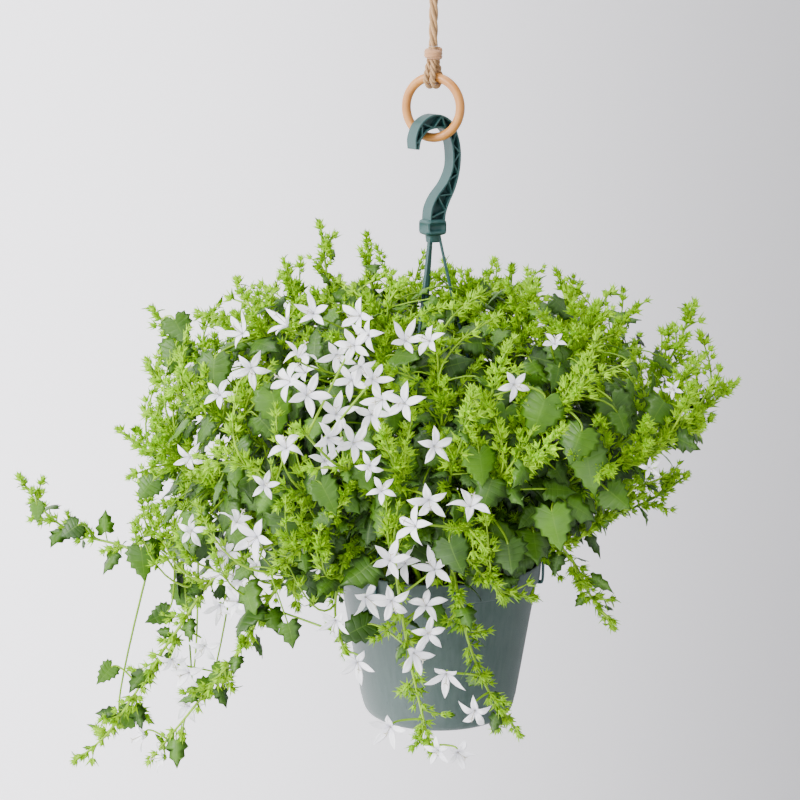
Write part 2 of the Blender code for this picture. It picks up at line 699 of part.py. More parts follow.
def fuse(base, others, solver="EXACT"):
    """One Boolean union of base with all the others, applied; the others are then removed."""
    if not others:
        return base
    group = bpy.data.collections.new(base.name + "_pieces")
    for other in others:
        bpy.context.scene.collection.objects.unlink(other)
        group.objects.link(other)
    bpy.context.scene.collection.children.link(group)
    union = base.modifiers.new("Fuse", "BOOLEAN")
    union.operation = "UNION"
    union.operand_type = "COLLECTION"
    union.collection = group
    union.solver = solver
    bpy.context.view_layer.update()
    graph = bpy.context.evaluated_depsgraph_get()
    joined = bpy.data.meshes.new_from_object(base.evaluated_get(graph))
    base.modifiers.clear()
    spent = base.data
    base.data = joined
    joined.name = base.name
    bpy.data.meshes.remove(spent)
    for other in others:
        other_mesh = other.data
        bpy.data.objects.remove(other)
        bpy.data.meshes.remove(other_mesh)
    bpy.data.collections.remove(group)
    return base


# The pot, the soil and what they hang from


def make_pot(material):
    wall = POT_WALL
    band = POT_HEIGHT - POT_BAND_HEIGHT
    outside = [
        (0, 0), (POT_BASE_RADIUS, 0), (54.0, 4.0), (POT_FOOT_RADIUS - 1, 14.0),
        (POT_SHOULDER_RADIUS, band), (POT_SHOULDER_RADIUS + 1.9, band + 0.4), (POT_RIM_RADIUS - 0.4, POT_HEIGHT - 1),
        (POT_RIM_RADIUS - 1.0, POT_HEIGHT),
    ]
    inside = [
        (POT_RIM_RADIUS - 1.9, POT_HEIGHT), (POT_SHOULDER_RADIUS - wall + 0.2, band), (POT_FOOT_RADIUS - 1 - wall, 14.4),
        (52.4, 5.0), (POT_BASE_RADIUS - 1, 2.0), (0, 2.0),
    ]
    profile = [(radius, POT_BASE_Z + height) for radius, height in outside + inside]
    return turned("pot", profile, POT_SIDES, material, (POT_AXIS_X, 0))


def make_soil(material, roots):
    """Potting soil up to a little under the rim, with a plain hole for each stem."""
    wall = POT_WALL + GAP
    profile = [
        (0, 2.4), (46.0, 2.4), (51.4, 5.6), (POT_FOOT_RADIUS - 1 - wall - 0.5, 14.6),
        (POT_SHOULDER_RADIUS - wall - 0.4, POT_HEIGHT - POT_BAND_HEIGHT - 2.5),
        (POT_SHOULDER_RADIUS - wall - 1.6, POT_HEIGHT - SOIL_DEPTH_BELOW_RIM), (0, POT_HEIGHT - SOIL_DEPTH_BELOW_RIM),
    ]
    profile = [(radius, POT_BASE_Z + height) for radius, height in profile]
    soil = turned("soil", profile, POT_SIDES, material, (POT_AXIS_X, 0))
    pegs = []
    half = 2 * STEM_RADIUS + 0.8
    for root in roots:
        path = np.array([root - [0, 0, ROOT_DEPTH + GAP], root + [0, 0, 4]])
        pegs.append(sweep("peg", path, half, half, 3, material, (1.0, 0.0, 0.0)))
    group = bpy.data.collections.new("root_pegs")
    for peg in pegs:
        bpy.context.scene.collection.objects.unlink(peg)
        group.objects.link(peg)
    bpy.context.scene.collection.children.link(group)
    holes = soil.modifiers.new("Root holes", "BOOLEAN")
    holes.operation = "DIFFERENCE"
    holes.operand_type = "COLLECTION"
    holes.collection = group
    holes.solver = "MANIFOLD"
    bpy.context.view_layer.update()
    graph = bpy.context.evaluated_depsgraph_get()
    cut = bpy.data.meshes.new_from_object(soil.evaluated_get(graph))
    soil.modifiers.clear()
    soil.data = cut
    for peg in pegs:
        bpy.data.objects.remove(peg)
    bpy.data.collections.remove(group)
    return soil


def in_hook(along, height, across=0.0):
    """A place in the hook's own plane: along it, up, and across its depth."""
    x = along * math.cos(HOOK_TURN) + across * math.sin(HOOK_TURN)
    y = along * math.sin(HOOK_TURN) - across * math.cos(HOOK_TURN)
    return np.array([RING_CENTRE[0] + x, RING_CENTRE[1] + y, height])


# The hook's middle line from its tip over the ring to the collar: (along, height, half its width)
HOOK_LINE = [
    (-15.6, -150.9, 1.5), (-14.7, -143.0, 2.6), (-9.4, -135.2, 4.0), (-0.4, -131.8, 4.9), (8.9, -134.5, 3.8),
    (13.9, -143.2, 3.3), (16.0, -153.7, 3.3), (15.4, -165.5, 3.2), (11.2, -177.0, 4.2), (5.0, -186.5, 5.6),
    (1.6, -194.0, 6.1), (0.6, -201.5, 6.0),
]


def hook_edges():
    """The two edges of the hook's outline as evenly spaced points, and its middle line."""
    line = smooth_path(np.array(HOOK_LINE), 5.6)
    flat = line[:, :2]
    run = np.gradient(flat, axis=0)
    run /= np.linalg.norm(run, axis=1)[:, None]
    normal = np.column_stack([-run[:, 1], run[:, 0]])
    half = line[:, 2:3]
    return flat + normal * half, flat - normal * half, flat


def plate(name, outline, thickness, material):
    """An outline in the hook's plane, given that thickness across it."""
    count = len(outline)
    front = [in_hook(along, height, thickness / 2) for along, height in outline]
    back = [in_hook(along, height, -thickness / 2) for along, height in outline]
    faces = [tuple(range(count)), tuple(range(count, 2 * count))[::-1]]
    faces += [(k, k + count, (k + 1) % count + count, (k + 1) % count) for k in range(count)]
    made = solid(name, front + back, faces, material)
    face_outwards(made)
    return made


def strip(name, edge, toward, wall, depth, material):
    """A flange: a strip that follows one edge of the outline, as thick as wall on its inner side."""
    inner = edge + (toward - edge) / np.linalg.norm(toward - edge, axis=1)[:, None] * wall
    return plate(name, np.vstack([edge, inner[::-1]]), depth, material)


def inset(one_edge, other_edge, by):
    """The outline between two edges, each drawn in a little towards the other."""
    run = other_edge - one_edge
    run = run / np.linalg.norm(run, axis=1)[:, None] * by
    return np.vstack([one_edge + run, (other_edge - run)[::-1]])


def make_hanger(material):
    """The moulded hook, its collar and the three arms that clip under the rim: one piece."""
    outer, inner, _ = hook_edges()
    pieces = [
        strip("flange_outer", outer, inner, HOOK_FLANGE, HOOK_DEPTH, material),
        strip("flange_inner", inner, outer, HOOK_FLANGE, HOOK_DEPTH, material),
        plate("tip", inset(outer[:2], inner[:2], 0.4), HOOK_DEPTH - 0.9, material),
    ]
    rib = 0.62
    for first in range(1, len(outer) - 2, 2):
        for a, b in ((outer[first], inner[first + 1]), (inner[first + 1], outer[first + 2])):
            run = (b - a) / np.linalg.norm(b - a)
            side = np.array([-run[1], run[0]]) * rib
            a, b = a + run * 0.5, b - run * 0.5
            pieces.append(plate("rib", np.array([a + side, b + side, b - side, a - side]), HOOK_DEPTH - 1.4, material))
    web = plate("hanger", inset(outer, inner, 0.45), HOOK_WEB, material)
    pieces += collar_pieces(material)
    for angle in ARM_ANGLES:
        pieces += arm_pieces(angle, material)
    return fuse(web, pieces, "MANIFOLD")


def collar_pieces(material):
    """The rounded block under the hook, with a dished front and back, and the web between the arms."""
    half = COLLAR_SIDE / 2
    bottom = COLLAR_TOP_Z - COLLAR_HEIGHT
    heights = [bottom, bottom + 2.0, COLLAR_TOP_Z - 2.0, COLLAR_TOP_Z]
    widths = [half - 1.6, half, half, half - 1.6]
    path = np.array([(RING_CENTRE[0], RING_CENTRE[1], height) for height in heights])
    sideways = (math.sin(HOOK_TURN), -math.cos(HOOK_TURN), 0.0)
    block = sweep("collar", path, widths, widths, 4, material, sideways)
    web_path = np.array([(RING_CENTRE[0], 0, bottom + 1), (RING_CENTRE[0], 0, bottom - 5)])
    web = sweep("arm_web", web_path, [5.0, 4.4], [5.0, 4.4], 6, material, sideways)
    return [block, web]


def arm_pieces(angle, material):
    """One strap, and the clip at its end that passes over the rim and catches under its band."""
    out = np.array([math.cos(angle), math.sin(angle), 0])
    path = smooth_path(arm_path(angle), 22.0)
    square = np.cross(out, [0, 0, 1])
    strap = sweep("arm", path, ARM_THICKNESS / 2, ARM_WIDTH / 2, 4, material, tuple(square))
    wall = POT_RIM_RADIUS
    half = 1.0
    toe = POT_RIM_Z - POT_BAND_HEIGHT + 0.15 - GAP - half
    clip_points = [
        (wall - 6.0, POT_RIM_Z + 14), (wall - 3.4, POT_RIM_Z + 4), (wall - 0.8, POT_RIM_Z + half + 0.6),
        (wall + half - 0.2, POT_RIM_Z - 0.7), (wall + half - 0.3, POT_RIM_Z - POT_BAND_HEIGHT + 0.7),
        (wall - 0.6, toe), (wall - 3.4, toe),
    ]
    clip_path = np.array([POT_AXIS + out * reach + [0, 0, height] for reach, height in clip_points])
    clip = sweep("clip", clip_path, half, [ARM_WIDTH / 2] * 2 + [3.0] * 5, 4, material, tuple(square))
    return [strap, clip]


def make_ring(material):
    """The wooden ring, a torus that stands upright."""
    bpy.ops.mesh.primitive_torus_add(
        major_segments=26, minor_segments=8, major_radius=RING_RADIUS * MM, minor_radius=RING_TUBE * MM
    )
    ring = bpy.context.object
    ring.name = "wood_ring"
    ring.data.name = "wood_ring"
    ring.data.materials.append(material)
    place = Matrix.Translation(Vector(RING_CENTRE) * MM)
    stand = Matrix.Rotation(RING_TURN, 4, "Z") @ Matrix.Rotation(math.pi / 2, 4, "X")
    ring.data.transform(place @ stand)
    ring.matrix_world = Matrix.Identity(4)
    shade_round(ring)
    return ring


def make_eye(material):
    """The rope's eye: two turns side by side under the top of the ring, closed into one throat."""
    along = np.array([math.cos(RING_TURN), math.sin(RING_TURN), 0])
    facing = np.array([math.sin(RING_TURN), -math.cos(RING_TURN), 0])
    top = np.array(RING_CENTRE) + [0, 0, RING_RADIUS]
    wrap = RING_TUBE + GAP + EYE_STRAND + 0.35
    gather = WHIPPING_TOP_Z - WHIPPING_HEIGHT - GAP
    turns = []
    for side in (-1, 1):
        shift = along * side * (EYE_STRAND + 0.1)
        points = [top * [1, 1, 0] + facing * 2.6 + shift * 0.7 + [0, 0, gather - 0.6]]
        for step in range(6):
            turn = math.pi * step / 5
            points.append(top + facing * wrap * math.cos(turn) - np.array([0, 0, wrap * math.sin(turn)]) + shift)
        points.append(top * [1, 1, 0] - facing * 2.6 + shift * 0.7 + [0, 0, gather - 0.6])
        turns.append(sweep("turn", np.array(points), EYE_STRAND, EYE_STRAND, 6, material, tuple(along)))
    profile = [
        (0, gather - 3.5), (4.6, gather - 3.5), (5.9, gather - 1.6), (5.9, gather), (THROAT_RADIUS, gather),
        (THROAT_RADIUS, WHIPPING_TOP_Z), (0, WHIPPING_TOP_Z),
    ]
    throat = turned("rope_eye", profile, 10, material, tuple(top[:2]))
    return fuse(throat, turns, "MANIFOLD")


def make_whipping(material):
    """Two turns of cord pulled tight round the throat."""
    inner = THROAT_RADIUS + GAP
    low, middle, top = WHIPPING_TOP_Z - WHIPPING_HEIGHT, WHIPPING_TOP_Z - WHIPPING_HEIGHT / 2, WHIPPING_TOP_Z
    profile = [
        (inner, low), (WHIPPING_RADIUS - 0.5, low), (WHIPPING_RADIUS, low + 1.2), (WHIPPING_RADIUS, middle - 1.0),
        (WHIPPING_RADIUS - 0.7, middle), (WHIPPING_RADIUS, middle + 1.0), (WHIPPING_RADIUS, top - 1.2),
        (WHIPPING_RADIUS - 0.5, top), (inner, top),
    ]
    return turned("whipping", profile, 12, material, RING_CENTRE[:2])


def make_rope(material):
    """The rope from the whipping up to its knot."""
    low = WHIPPING_TOP_Z + GAP
    count = 6
    line = bpy.data.curves.new("rope", "CURVE")
    line.dimensions = "3D"
    line.bevel_depth = ROPE_RADIUS * MM
    line.bevel_resolution = 2
    line.use_fill_caps = True
    spline = line.splines.new("POLY")
    spline.points.add(count - 1)
    for number in range(count):
        share = number / (count - 1)
        place = Vector((RING_CENTRE[0] * (1 - share), RING_CENTRE[1] * (1 - share), low + (ROPE_TOP_Z - low) * share))
        spline.points[number].co = (*(place * MM), 1)
    line.materials.append(material)
    rope = bpy.data.objects.new("rope", line)
    bpy.context.scene.collection.objects.link(rope)
    return rope


def make_knot(material):
    """The knot that the rope hangs by, in two tilted turns round a core."""
    low = ROPE_TOP_Z + GAP
    profile = [(0, low), (3.4, low), (4.4, low + 3), (4.4, -3.0), (2.5, 0.0), (0, 0.0)]
    core = turned("rope_knot", profile, 10, material)
    turns = []
    for number, tilt in enumerate((0.32, -0.3)):
        centre = np.array([0, 0, low + 4.0 + 4.2 * number])
        spin = np.linspace(0, 2 * math.pi, 10, endpoint=False)
        ring = np.column_stack([4.4 * np.cos(spin), 4.4 * np.sin(spin), 4.4 * np.cos(spin) * tilt]) + centre
        turns.append(closed_ring("turn", ring, centre, 2.4, 5, material))
    return fuse(core, turns, "MANIFOLD")


def closed_ring(name, path, centre, radius, sides, material):
    """A tube round a closed path."""
    run = np.roll(path, -1, axis=0) - np.roll(path, 1, axis=0)
    run /= np.linalg.norm(run, axis=1)[:, None]
    out = path - centre
    out /= np.linalg.norm(out, axis=1)[:, None]
    up = np.cross(run, out)
    turns = np.arange(sides) * 2 * math.pi / sides
    points = path[:, None] + radius * (
        np.cos(turns)[None, :, None] * out[:, None] + np.sin(turns)[None, :, None] * up[:, None]
    )
    count = len(path)
    faces = []
    for ring in range(count):
        for side in range(sides):
            a, b = ring * sides + side, ring * sides + (side + 1) % sides
            c, d = (ring + 1) % count * sides + (side + 1) % sides, (ring + 1) % count * sides + side
            faces.append((a, b, c, d))
    made = solid(name, points.reshape(-1, 3), faces, material)
    face_outwards(made)
    return made


# The plant's organs


def star(place, facing, tips, reach, valley, lift, valley_lift):
    """A loop of pointed lobes round a place: tips far out and valleys between them."""
    side = unit(np.cross(facing, [0.3, 0.1, 1.0]))
    other = np.cross(facing, side)
    turns = np.arange(2 * tips) * math.pi / tips
    even = np.arange(2 * tips) % 2 == 0
    reaches = np.where(even, reach, valley)[:, None]
    rise = np.where(even, lift, valley_lift)[:, None]
    ring = np.cos(turns)[:, None] * side + np.sin(turns)[:, None] * other
    return place + ring * reaches + rise * facing


def carried(side, travel, wanted):
    """A side direction, turned as the direction of travel turns to the wanted one."""
    turn = Vector(travel).rotation_difference(Vector(wanted))
    return np.array(turn @ Vector(side))


def stalk_rings(stalk, radius, side, facing, turns, foot_radius=STALK_FOOT):
    """Small rings along a stalk, its foot first, carried back from its organ without a twist."""
    runs = [unit(b - a) for a, b in zip(stalk[:-1], stalk[1:])]
    wanted = [runs[0]] + [unit(a + b) for a, b in zip(runs[:-1], runs[1:])] + [facing]
    rings = []
    travel = facing
    radii = [radius] * (len(stalk) - 1) + [foot_radius]
    for place, towards, reach in zip(stalk[::-1], wanted[::-1], radii):
        side = carried(side, travel, towards)
        travel = towards
        other = np.cross(travel, side)
        rings.append(place + reach * (np.outer(np.cos(turns), side) + np.outer(np.sin(turns), other)))
    return rings[::-1]


def loft(name, loops, apex, material):
    """Triangles from loop to loop, which may differ in their number of corners, closed by an apex."""
    starts = np.cumsum([0] + [len(loop) for loop in loops])
    faces = [tuple(range(len(loops[0])))[::-1]]
    for number, (low, high) in enumerate(zip(loops[:-1], loops[1:])):
        a, b = starts[number], starts[number + 1]
        m, n = len(low), len(high)
        i = j = 0
        while i < m or j < n:
            if j >= n or (i < m and (i + 0.5) / m <= (j + 0.5) / n):
                faces.append((a + i % m, a + (i + 1) % m, b + j % n))
                i += 1
            else:
                faces.append((a + i % m, b + (j + 1) % n, b + j % n))
                j += 1
    last, count = starts[-2], len(loops[-1])
    top = int(starts[-1])
    faces += [(last + k, last + (k + 1) % count, top) for k in range(count)]
    faces = [tuple(int(corner) for corner in face) for face in faces]
    made = solid(name, np.vstack(loops + [apex[None]]), faces, material)
    face_outwards(made)
    return made


THREE = np.arange(3) * 2 * math.pi / 3
HALF_ROUND = np.arange(3) * math.pi / 2


def bud_star(place, facing, size, tips):
    """The loop and the apex of a spiky calyx: narrow sepals round a pointed bud."""
    return star(place, facing, tips, 0.72 * size, 0.24 * size, 0.62 * size, 0.12 * size), place + 0.8 * size * facing


def make_stem(name, line, tip, material):
    """A stem's tube, thinner towards its tip, where it ends in a spiky bud."""
    radii = np.linspace(STEM_RADIUS, STEM_TIP_RADIUS, len(line))
    facing = tip["facing"]
    side = unit(np.cross(facing, [0.3, 0.1, 1.0]))
    rings = stalk_rings(line, 1.0, side, facing, THREE, 1.0)
    rings = [place + radius * (ring - place) for place, radius, ring in zip(line, radii, rings)]
    loop, apex = bud_star(tip["place"] + 2.0 * facing, facing, tip["size"], 5)
    return loft(name, rings + [loop], apex, material)


def bud_mesh(bud, material):
    facing = bud["facing"]
    side = unit(np.cross(facing, [0.3, 0.1, 1.0]))
    loop, apex = bud_star(bud["place"], facing, bud["size"], 4)
    return loft("bud", stalk_rings(bud["stalk"], STALK_RADIUS, side, facing, THREE) + [loop], apex, material)


def bloom_mesh(bloom, material):
    """Five pointed petals joined into a funnel, which narrows behind into its stalk."""
    place, facing, reach = bloom["place"], bloom["facing"], bloom["size"]
    side = unit(np.cross(facing, [0.3, 0.1, 1.0]))
    loop = star(place, facing, 5, reach, 0.40 * reach, 0.10 * reach, 0.0)
    rings = stalk_rings(bloom["stalk"], 1.0, side, facing, THREE)
    return loft("bloom", rings + [loop], place - 0.18 * reach * facing, material)


LEAF_SIDE = [(0.28, -0.13), (0.50, 0.16), (0.36, 0.36), (0.40, 0.56)]
SMALL_LEAF_SIDE = [(0.28, -0.12), (0.48, 0.20), (0.34, 0.50)]
LARGE_LEAF = 27.0


def leaf_mesh(leaf, material):
    """A heart-shaped blade with coarse pointed teeth, thickest at its rib, and its petiole."""
    place, along, length = leaf["place"], leaf["along"], leaf["size"]
    side, facing = across_to(along, leaf["facing"])

    def blade(x, y, over=0.0):
        fall = 0.16 * abs(x) + 0.20 * max(y, 0) ** 2
        return place + length * (0.96 * x * side + y * along - fall * facing) + over * facing

    right = LEAF_SIDE if length > LARGE_LEAF else SMALL_LEAF_SIDE
    outline = right + [(0.0, 1.0)] + [(-x, y) for x, y in reversed(right)]
    rings = stalk_rings(leaf["stalk"], STALK_RADIUS, side, along, HALF_ROUND)
    points = np.vstack(rings + [[blade(x, y) for x, y in outline], [blade(0, 0.38, BLADE), blade(0, 0.38, -BLADE)]])
    last = 3 * len(rings) - 3
    starboard, under, port = last, last + 1, last + 2
    first = last + 3
    loop = [starboard] + list(range(first, first + len(outline))) + [port]
    rib, keel = len(points) - 2, len(points) - 1
    faces = [(0, 1, 2)]
    for ring in range(0, last, 3):
        for corner in range(3):
            after = (corner + 1) % 3
            faces.append((ring + corner, ring + after, ring + after + 3))
            faces.append((ring + corner, ring + after + 3, ring + corner + 3))
    for a, b in zip(loop[:-1], loop[1:]):
        faces += [(a, b, rib), (b, a, keel)]
    faces += [(port, starboard, rib), (starboard, under, keel), (under, port, keel)]
    made = solid("leaf", points, faces, material)
    face_outwards(made)
    return made


def make_plant(stems, organs, green):
    """Each leafy stem with all that grows on it, fused into one solid."""
    makers = {"bloom": bloom_mesh, "bud": bud_mesh, "leaf": leaf_mesh}
    for k, stem in enumerate(stems):
        own = [organ for organ in organs if organ["stem"] == k]
        base = make_stem(f"leafy_stem_{k + 1:02d}", stem.line, own[0], green)
        fuse(base, [makers[organ["kind"]](organ, green) for organ in own[1:]], "MANIFOLD")


def main():
    for old in list(bpy.data.objects):
        bpy.data.objects.remove(old)
    pot_plastic = surface("pot_plastic", (0.22, 0.30, 0.28), 0.5)
    hook_plastic = surface("hook_plastic", (0.07, 0.20, 0.19), 0.45)
    soil = surface("soil", (0.05, 0.035, 0.02), 1.0)
    wood = surface("wood", (0.72, 0.45, 0.22), 0.5)
    jute = surface("jute", (0.55, 0.42, 0.30), 0.9)
    green = surface("foliage", (0.14, 0.33, 0.04), 0.55)
    stems, organs = grow()
    make_pot(pot_plastic)
    make_soil(soil, [stem.line[0] + [0, 0, ROOT_DEPTH] for stem in stems])
    make_hanger(hook_plastic)
    make_ring(wood)
    make_eye(jute)
    make_whipping(jute)
    make_rope(jute)
    make_knot(jute)
    make_plant(stems, organs, green)


main()
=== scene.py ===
# %% [markdown]
# # A campanula in a hanging basket
#
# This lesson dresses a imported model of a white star-flowered campanula, which trails from a plastic pot.
# The pot hangs by a moulded hook from a wooden ring on a jute rope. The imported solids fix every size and
# place. Here each one gets the finer surface and finish that it has on the real plant: petals, teeth, ribs
# and fibres. All lengths in the code are millimetres until a mesh is made, and the origin is the point that
# the rope hangs from.

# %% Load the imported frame
import math

import bmesh
import bpy
import numpy as np
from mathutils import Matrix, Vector


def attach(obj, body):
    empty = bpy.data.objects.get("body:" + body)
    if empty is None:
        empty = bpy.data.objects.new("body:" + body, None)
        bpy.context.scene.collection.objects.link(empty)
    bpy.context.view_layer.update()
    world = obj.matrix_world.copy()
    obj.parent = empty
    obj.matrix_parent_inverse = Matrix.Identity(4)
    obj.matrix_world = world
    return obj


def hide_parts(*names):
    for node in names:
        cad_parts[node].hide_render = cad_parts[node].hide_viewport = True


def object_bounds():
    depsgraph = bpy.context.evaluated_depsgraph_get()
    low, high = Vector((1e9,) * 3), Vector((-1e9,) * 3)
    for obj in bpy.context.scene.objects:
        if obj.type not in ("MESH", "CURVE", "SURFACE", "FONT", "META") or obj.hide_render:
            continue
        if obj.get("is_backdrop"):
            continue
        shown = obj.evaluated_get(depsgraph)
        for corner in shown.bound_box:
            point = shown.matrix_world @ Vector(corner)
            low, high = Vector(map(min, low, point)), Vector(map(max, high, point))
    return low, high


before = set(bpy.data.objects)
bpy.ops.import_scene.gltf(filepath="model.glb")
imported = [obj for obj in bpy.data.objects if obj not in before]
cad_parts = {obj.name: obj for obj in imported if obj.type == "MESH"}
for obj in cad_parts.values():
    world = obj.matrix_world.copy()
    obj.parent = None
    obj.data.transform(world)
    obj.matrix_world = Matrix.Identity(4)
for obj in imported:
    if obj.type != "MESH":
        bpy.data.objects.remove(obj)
packed_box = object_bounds()
MM = 0.001
print("nodes", len(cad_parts), "box", packed_box)

# %% [markdown]
# ## The view
#
# The photograph was taken from a little above, with a long lens. The camera stands 1.5 m from a target
# point in the bush and looks 11 degrees down. The same numbers also turn a place in the 800 x 800 picture,
# with a depth, into a real place, which the plan of the plant needs further on.

# %% The camera
VIEW_DISTANCE = 1500.0
VIEW_PITCH = math.radians(11)
VIEW_WIDTH = 0.3814
VIEW_TARGET = (-23.5, 0.0, -330.0)
FRAME = 800
SENSOR = 36.0
FAR_CLIP = 20


def in_scene(name, data):
    """An object of that name in the scene, made from its data."""
    made = bpy.data.objects.new(name, data)
    bpy.context.scene.collection.objects.link(made)
    return made


eye = bpy.data.cameras.new("view")
eye.sensor_width = SENSOR
eye.lens = SENSOR / VIEW_WIDTH
eye.clip_end = FAR_CLIP
camera = in_scene("view", eye)
camera.location = (
    VIEW_TARGET[0] * MM,
    (VIEW_TARGET[1] - VIEW_DISTANCE * math.cos(VIEW_PITCH)) * MM,
    (VIEW_TARGET[2] + VIEW_DISTANCE * math.sin(VIEW_PITCH)) * MM,
)
camera.rotation_euler = (math.pi / 2 - VIEW_PITCH, 0, 0)
bpy.context.scene.camera = camera
print("lens", round(eye.lens, 1), "mm")

# %% [markdown]
# ## Surfaces from arrays
#
# Every surface here is worked out with numpy: a grid of two parameters, or a profile carried along a path,
# as whole arrays. `grid_faces` joins the points of a grid into four-cornered faces, and `make_piece` puts
# points and faces into a mesh. A mesh could also be built face by face in bmesh, which is slower and hides
# the formula.

# %% Points and faces


def grid_faces(rows, columns, round_rows=False, round_columns=False):
    """Faces of a grid whose points are stored row by row; either way may close on itself."""
    r = np.arange(rows if round_rows else rows - 1)[:, None]
    c = np.arange(columns if round_columns else columns - 1)[None]
    r_next, c_next = (r + 1) % rows, (c + 1) % columns
    quads = [r * columns + c, r * columns + c_next, r_next * columns + c_next, r_next * columns + c]
    return np.stack(quads, axis=-1).reshape(-1, 4)


def make_piece(name, points, face_sets, material, uv=None, values=None, smooth=True):
    """A piece from points in millimetres and arrays of faces, with its material."""
    mesh = bpy.data.meshes.new(name)
    points = np.asarray(points, float).reshape(-1, 3)
    mesh.vertices.add(len(points))
    mesh.vertices.foreach_set("co", (points * MM).astype(np.float32).ravel())
    corners = np.concatenate([faces.ravel() for faces in face_sets]).astype(np.int32)
    sizes = np.concatenate([np.full(len(faces), faces.shape[1]) for faces in face_sets])
    mesh.loops.add(len(corners))
    mesh.loops.foreach_set("vertex_index", corners)
    mesh.polygons.add(len(sizes))
    mesh.polygons.foreach_set("loop_start", np.concatenate([[0], np.cumsum(sizes)[:-1]]).astype(np.int32))
    mesh.polygons.foreach_set("use_smooth", np.full(len(sizes), smooth))
    mesh.update(calc_edges=True)
    mesh.validate()
    if uv is not None:
        layer = mesh.uv_layers.new(name="UVMap")
        layer.data.foreach_set("uv", np.asarray(uv, np.float32).reshape(-1, 2)[corners].ravel())
    for label, numbers in (values or {}).items():
        held = mesh.attributes.new(label, "FLOAT", "POINT")
        held.data.foreach_set("value", np.asarray(numbers, np.float32).ravel())
    mesh.materials.append(material)
    piece = in_scene(name, mesh)
    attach(piece, "root")
    return piece


def triangle_count(piece):
    """How many triangles the piece's faces come to: two fewer than its corners for each face."""
    return sum(len(face.vertices) - 2 for face in piece.data.polygons)


# %% [markdown]
# ## Directions
#
# A profile that is carried along a path needs two directions square to the path at each point. They are
# found for the whole path at once: the path's own direction is its gradient, and a fixed reference
# direction gives the rest.

# %% Directions along a path


def unit(vector):
    """One vector, made one long."""
    return np.asarray(vector, float) / np.linalg.norm(vector)


def units(vectors):
    """Each row of an array of vectors, made one long."""
    return vectors / np.maximum(np.linalg.norm(vectors, axis=-1, keepdims=True), 1e-9)


def path_frames(paths, reference):
    """(run, side, over) at each point of each path, from the gradient and a reference direction."""
    run = units(np.gradient(paths, axis=-2))
    side = units(np.cross(run, np.broadcast_to(reference, run.shape)))
    return run, side, np.cross(side, run)


def carry(profile, path, reference, across=1.0, up=1.0):
    """A flat profile of (across, up) points carried along a path; both may be scaled along it."""
    _, side, over = path_frames(path, reference)
    across = np.broadcast_to(across, len(path))[:, None, None]
    up = np.broadcast_to(up, len(path))[:, None, None]
    profile = np.broadcast_to(profile, (len(path),) + np.shape(profile)[-2:])
    out = profile[..., :1] * across * side[:, None] + profile[..., 1:] * up * over[:, None]
    return path[:, None] + out


def full_turn(count):
    """Even angles round a whole turn."""
    return np.arange(count) * 2 * math.pi / count


def about(turn, side, over):
    """The direction at an angle round an axis: cos of it to one side, sin of it to the other."""
    return np.cos(turn)[..., None] * side + np.sin(turn)[..., None] * over


def length_along(path):
    """How far along the path each of its points lies."""
    return np.concatenate([[0], np.cumsum(np.linalg.norm(np.diff(path, axis=0), axis=1))])


def read_at(wanted, known, rows):
    """Rows of three numbers, read between the known places by straight lines."""
    return np.column_stack([np.interp(wanted, known, rows[:, axis]) for axis in range(3)])


def resampled(path, count):
    """The same path with a given number of even points."""
    run = length_along(path)
    return read_at(np.linspace(0, run[-1], count), run, path)


def smooth_path(points, step):
    """Even points along a Catmull-Rom curve: between two points it is a cubic of the four points nearest."""
    ends = np.vstack([2 * points[0] - points[1], points, 2 * points[-1] - points[-2]])
    share = np.linspace(0, 1, 16, endpoint=False)[:, None]
    pieces = []
    for a, b, c, d in zip(ends[:-3], ends[1:-2], ends[2:-1], ends[3:]):
        cubic = 2 * b + (c - a) * share + (2 * a - 5 * b + 4 * c - d) * share**2
        pieces.append((cubic + (3 * b - a - 3 * c + d) * share**3) / 2)
    dense = np.vstack(pieces + [points[-1:]])
    return resampled(dense, max(int(length_along(dense)[-1] / step), 3) + 1)


# %% [markdown]
# ## Materials
#
# A finish is a node tree. `Tree` is a small helper that adds nodes and links them by name, so that a recipe
# reads from the pattern to the shader. Effects that several finishes share are node groups: the mottled
# tone of living green, the fine grain of moulded plastic, and the fibres of laid jute. A group puts out
# colours, masks and heights only, and each material keeps its own shader.

# %% A helper for node trees


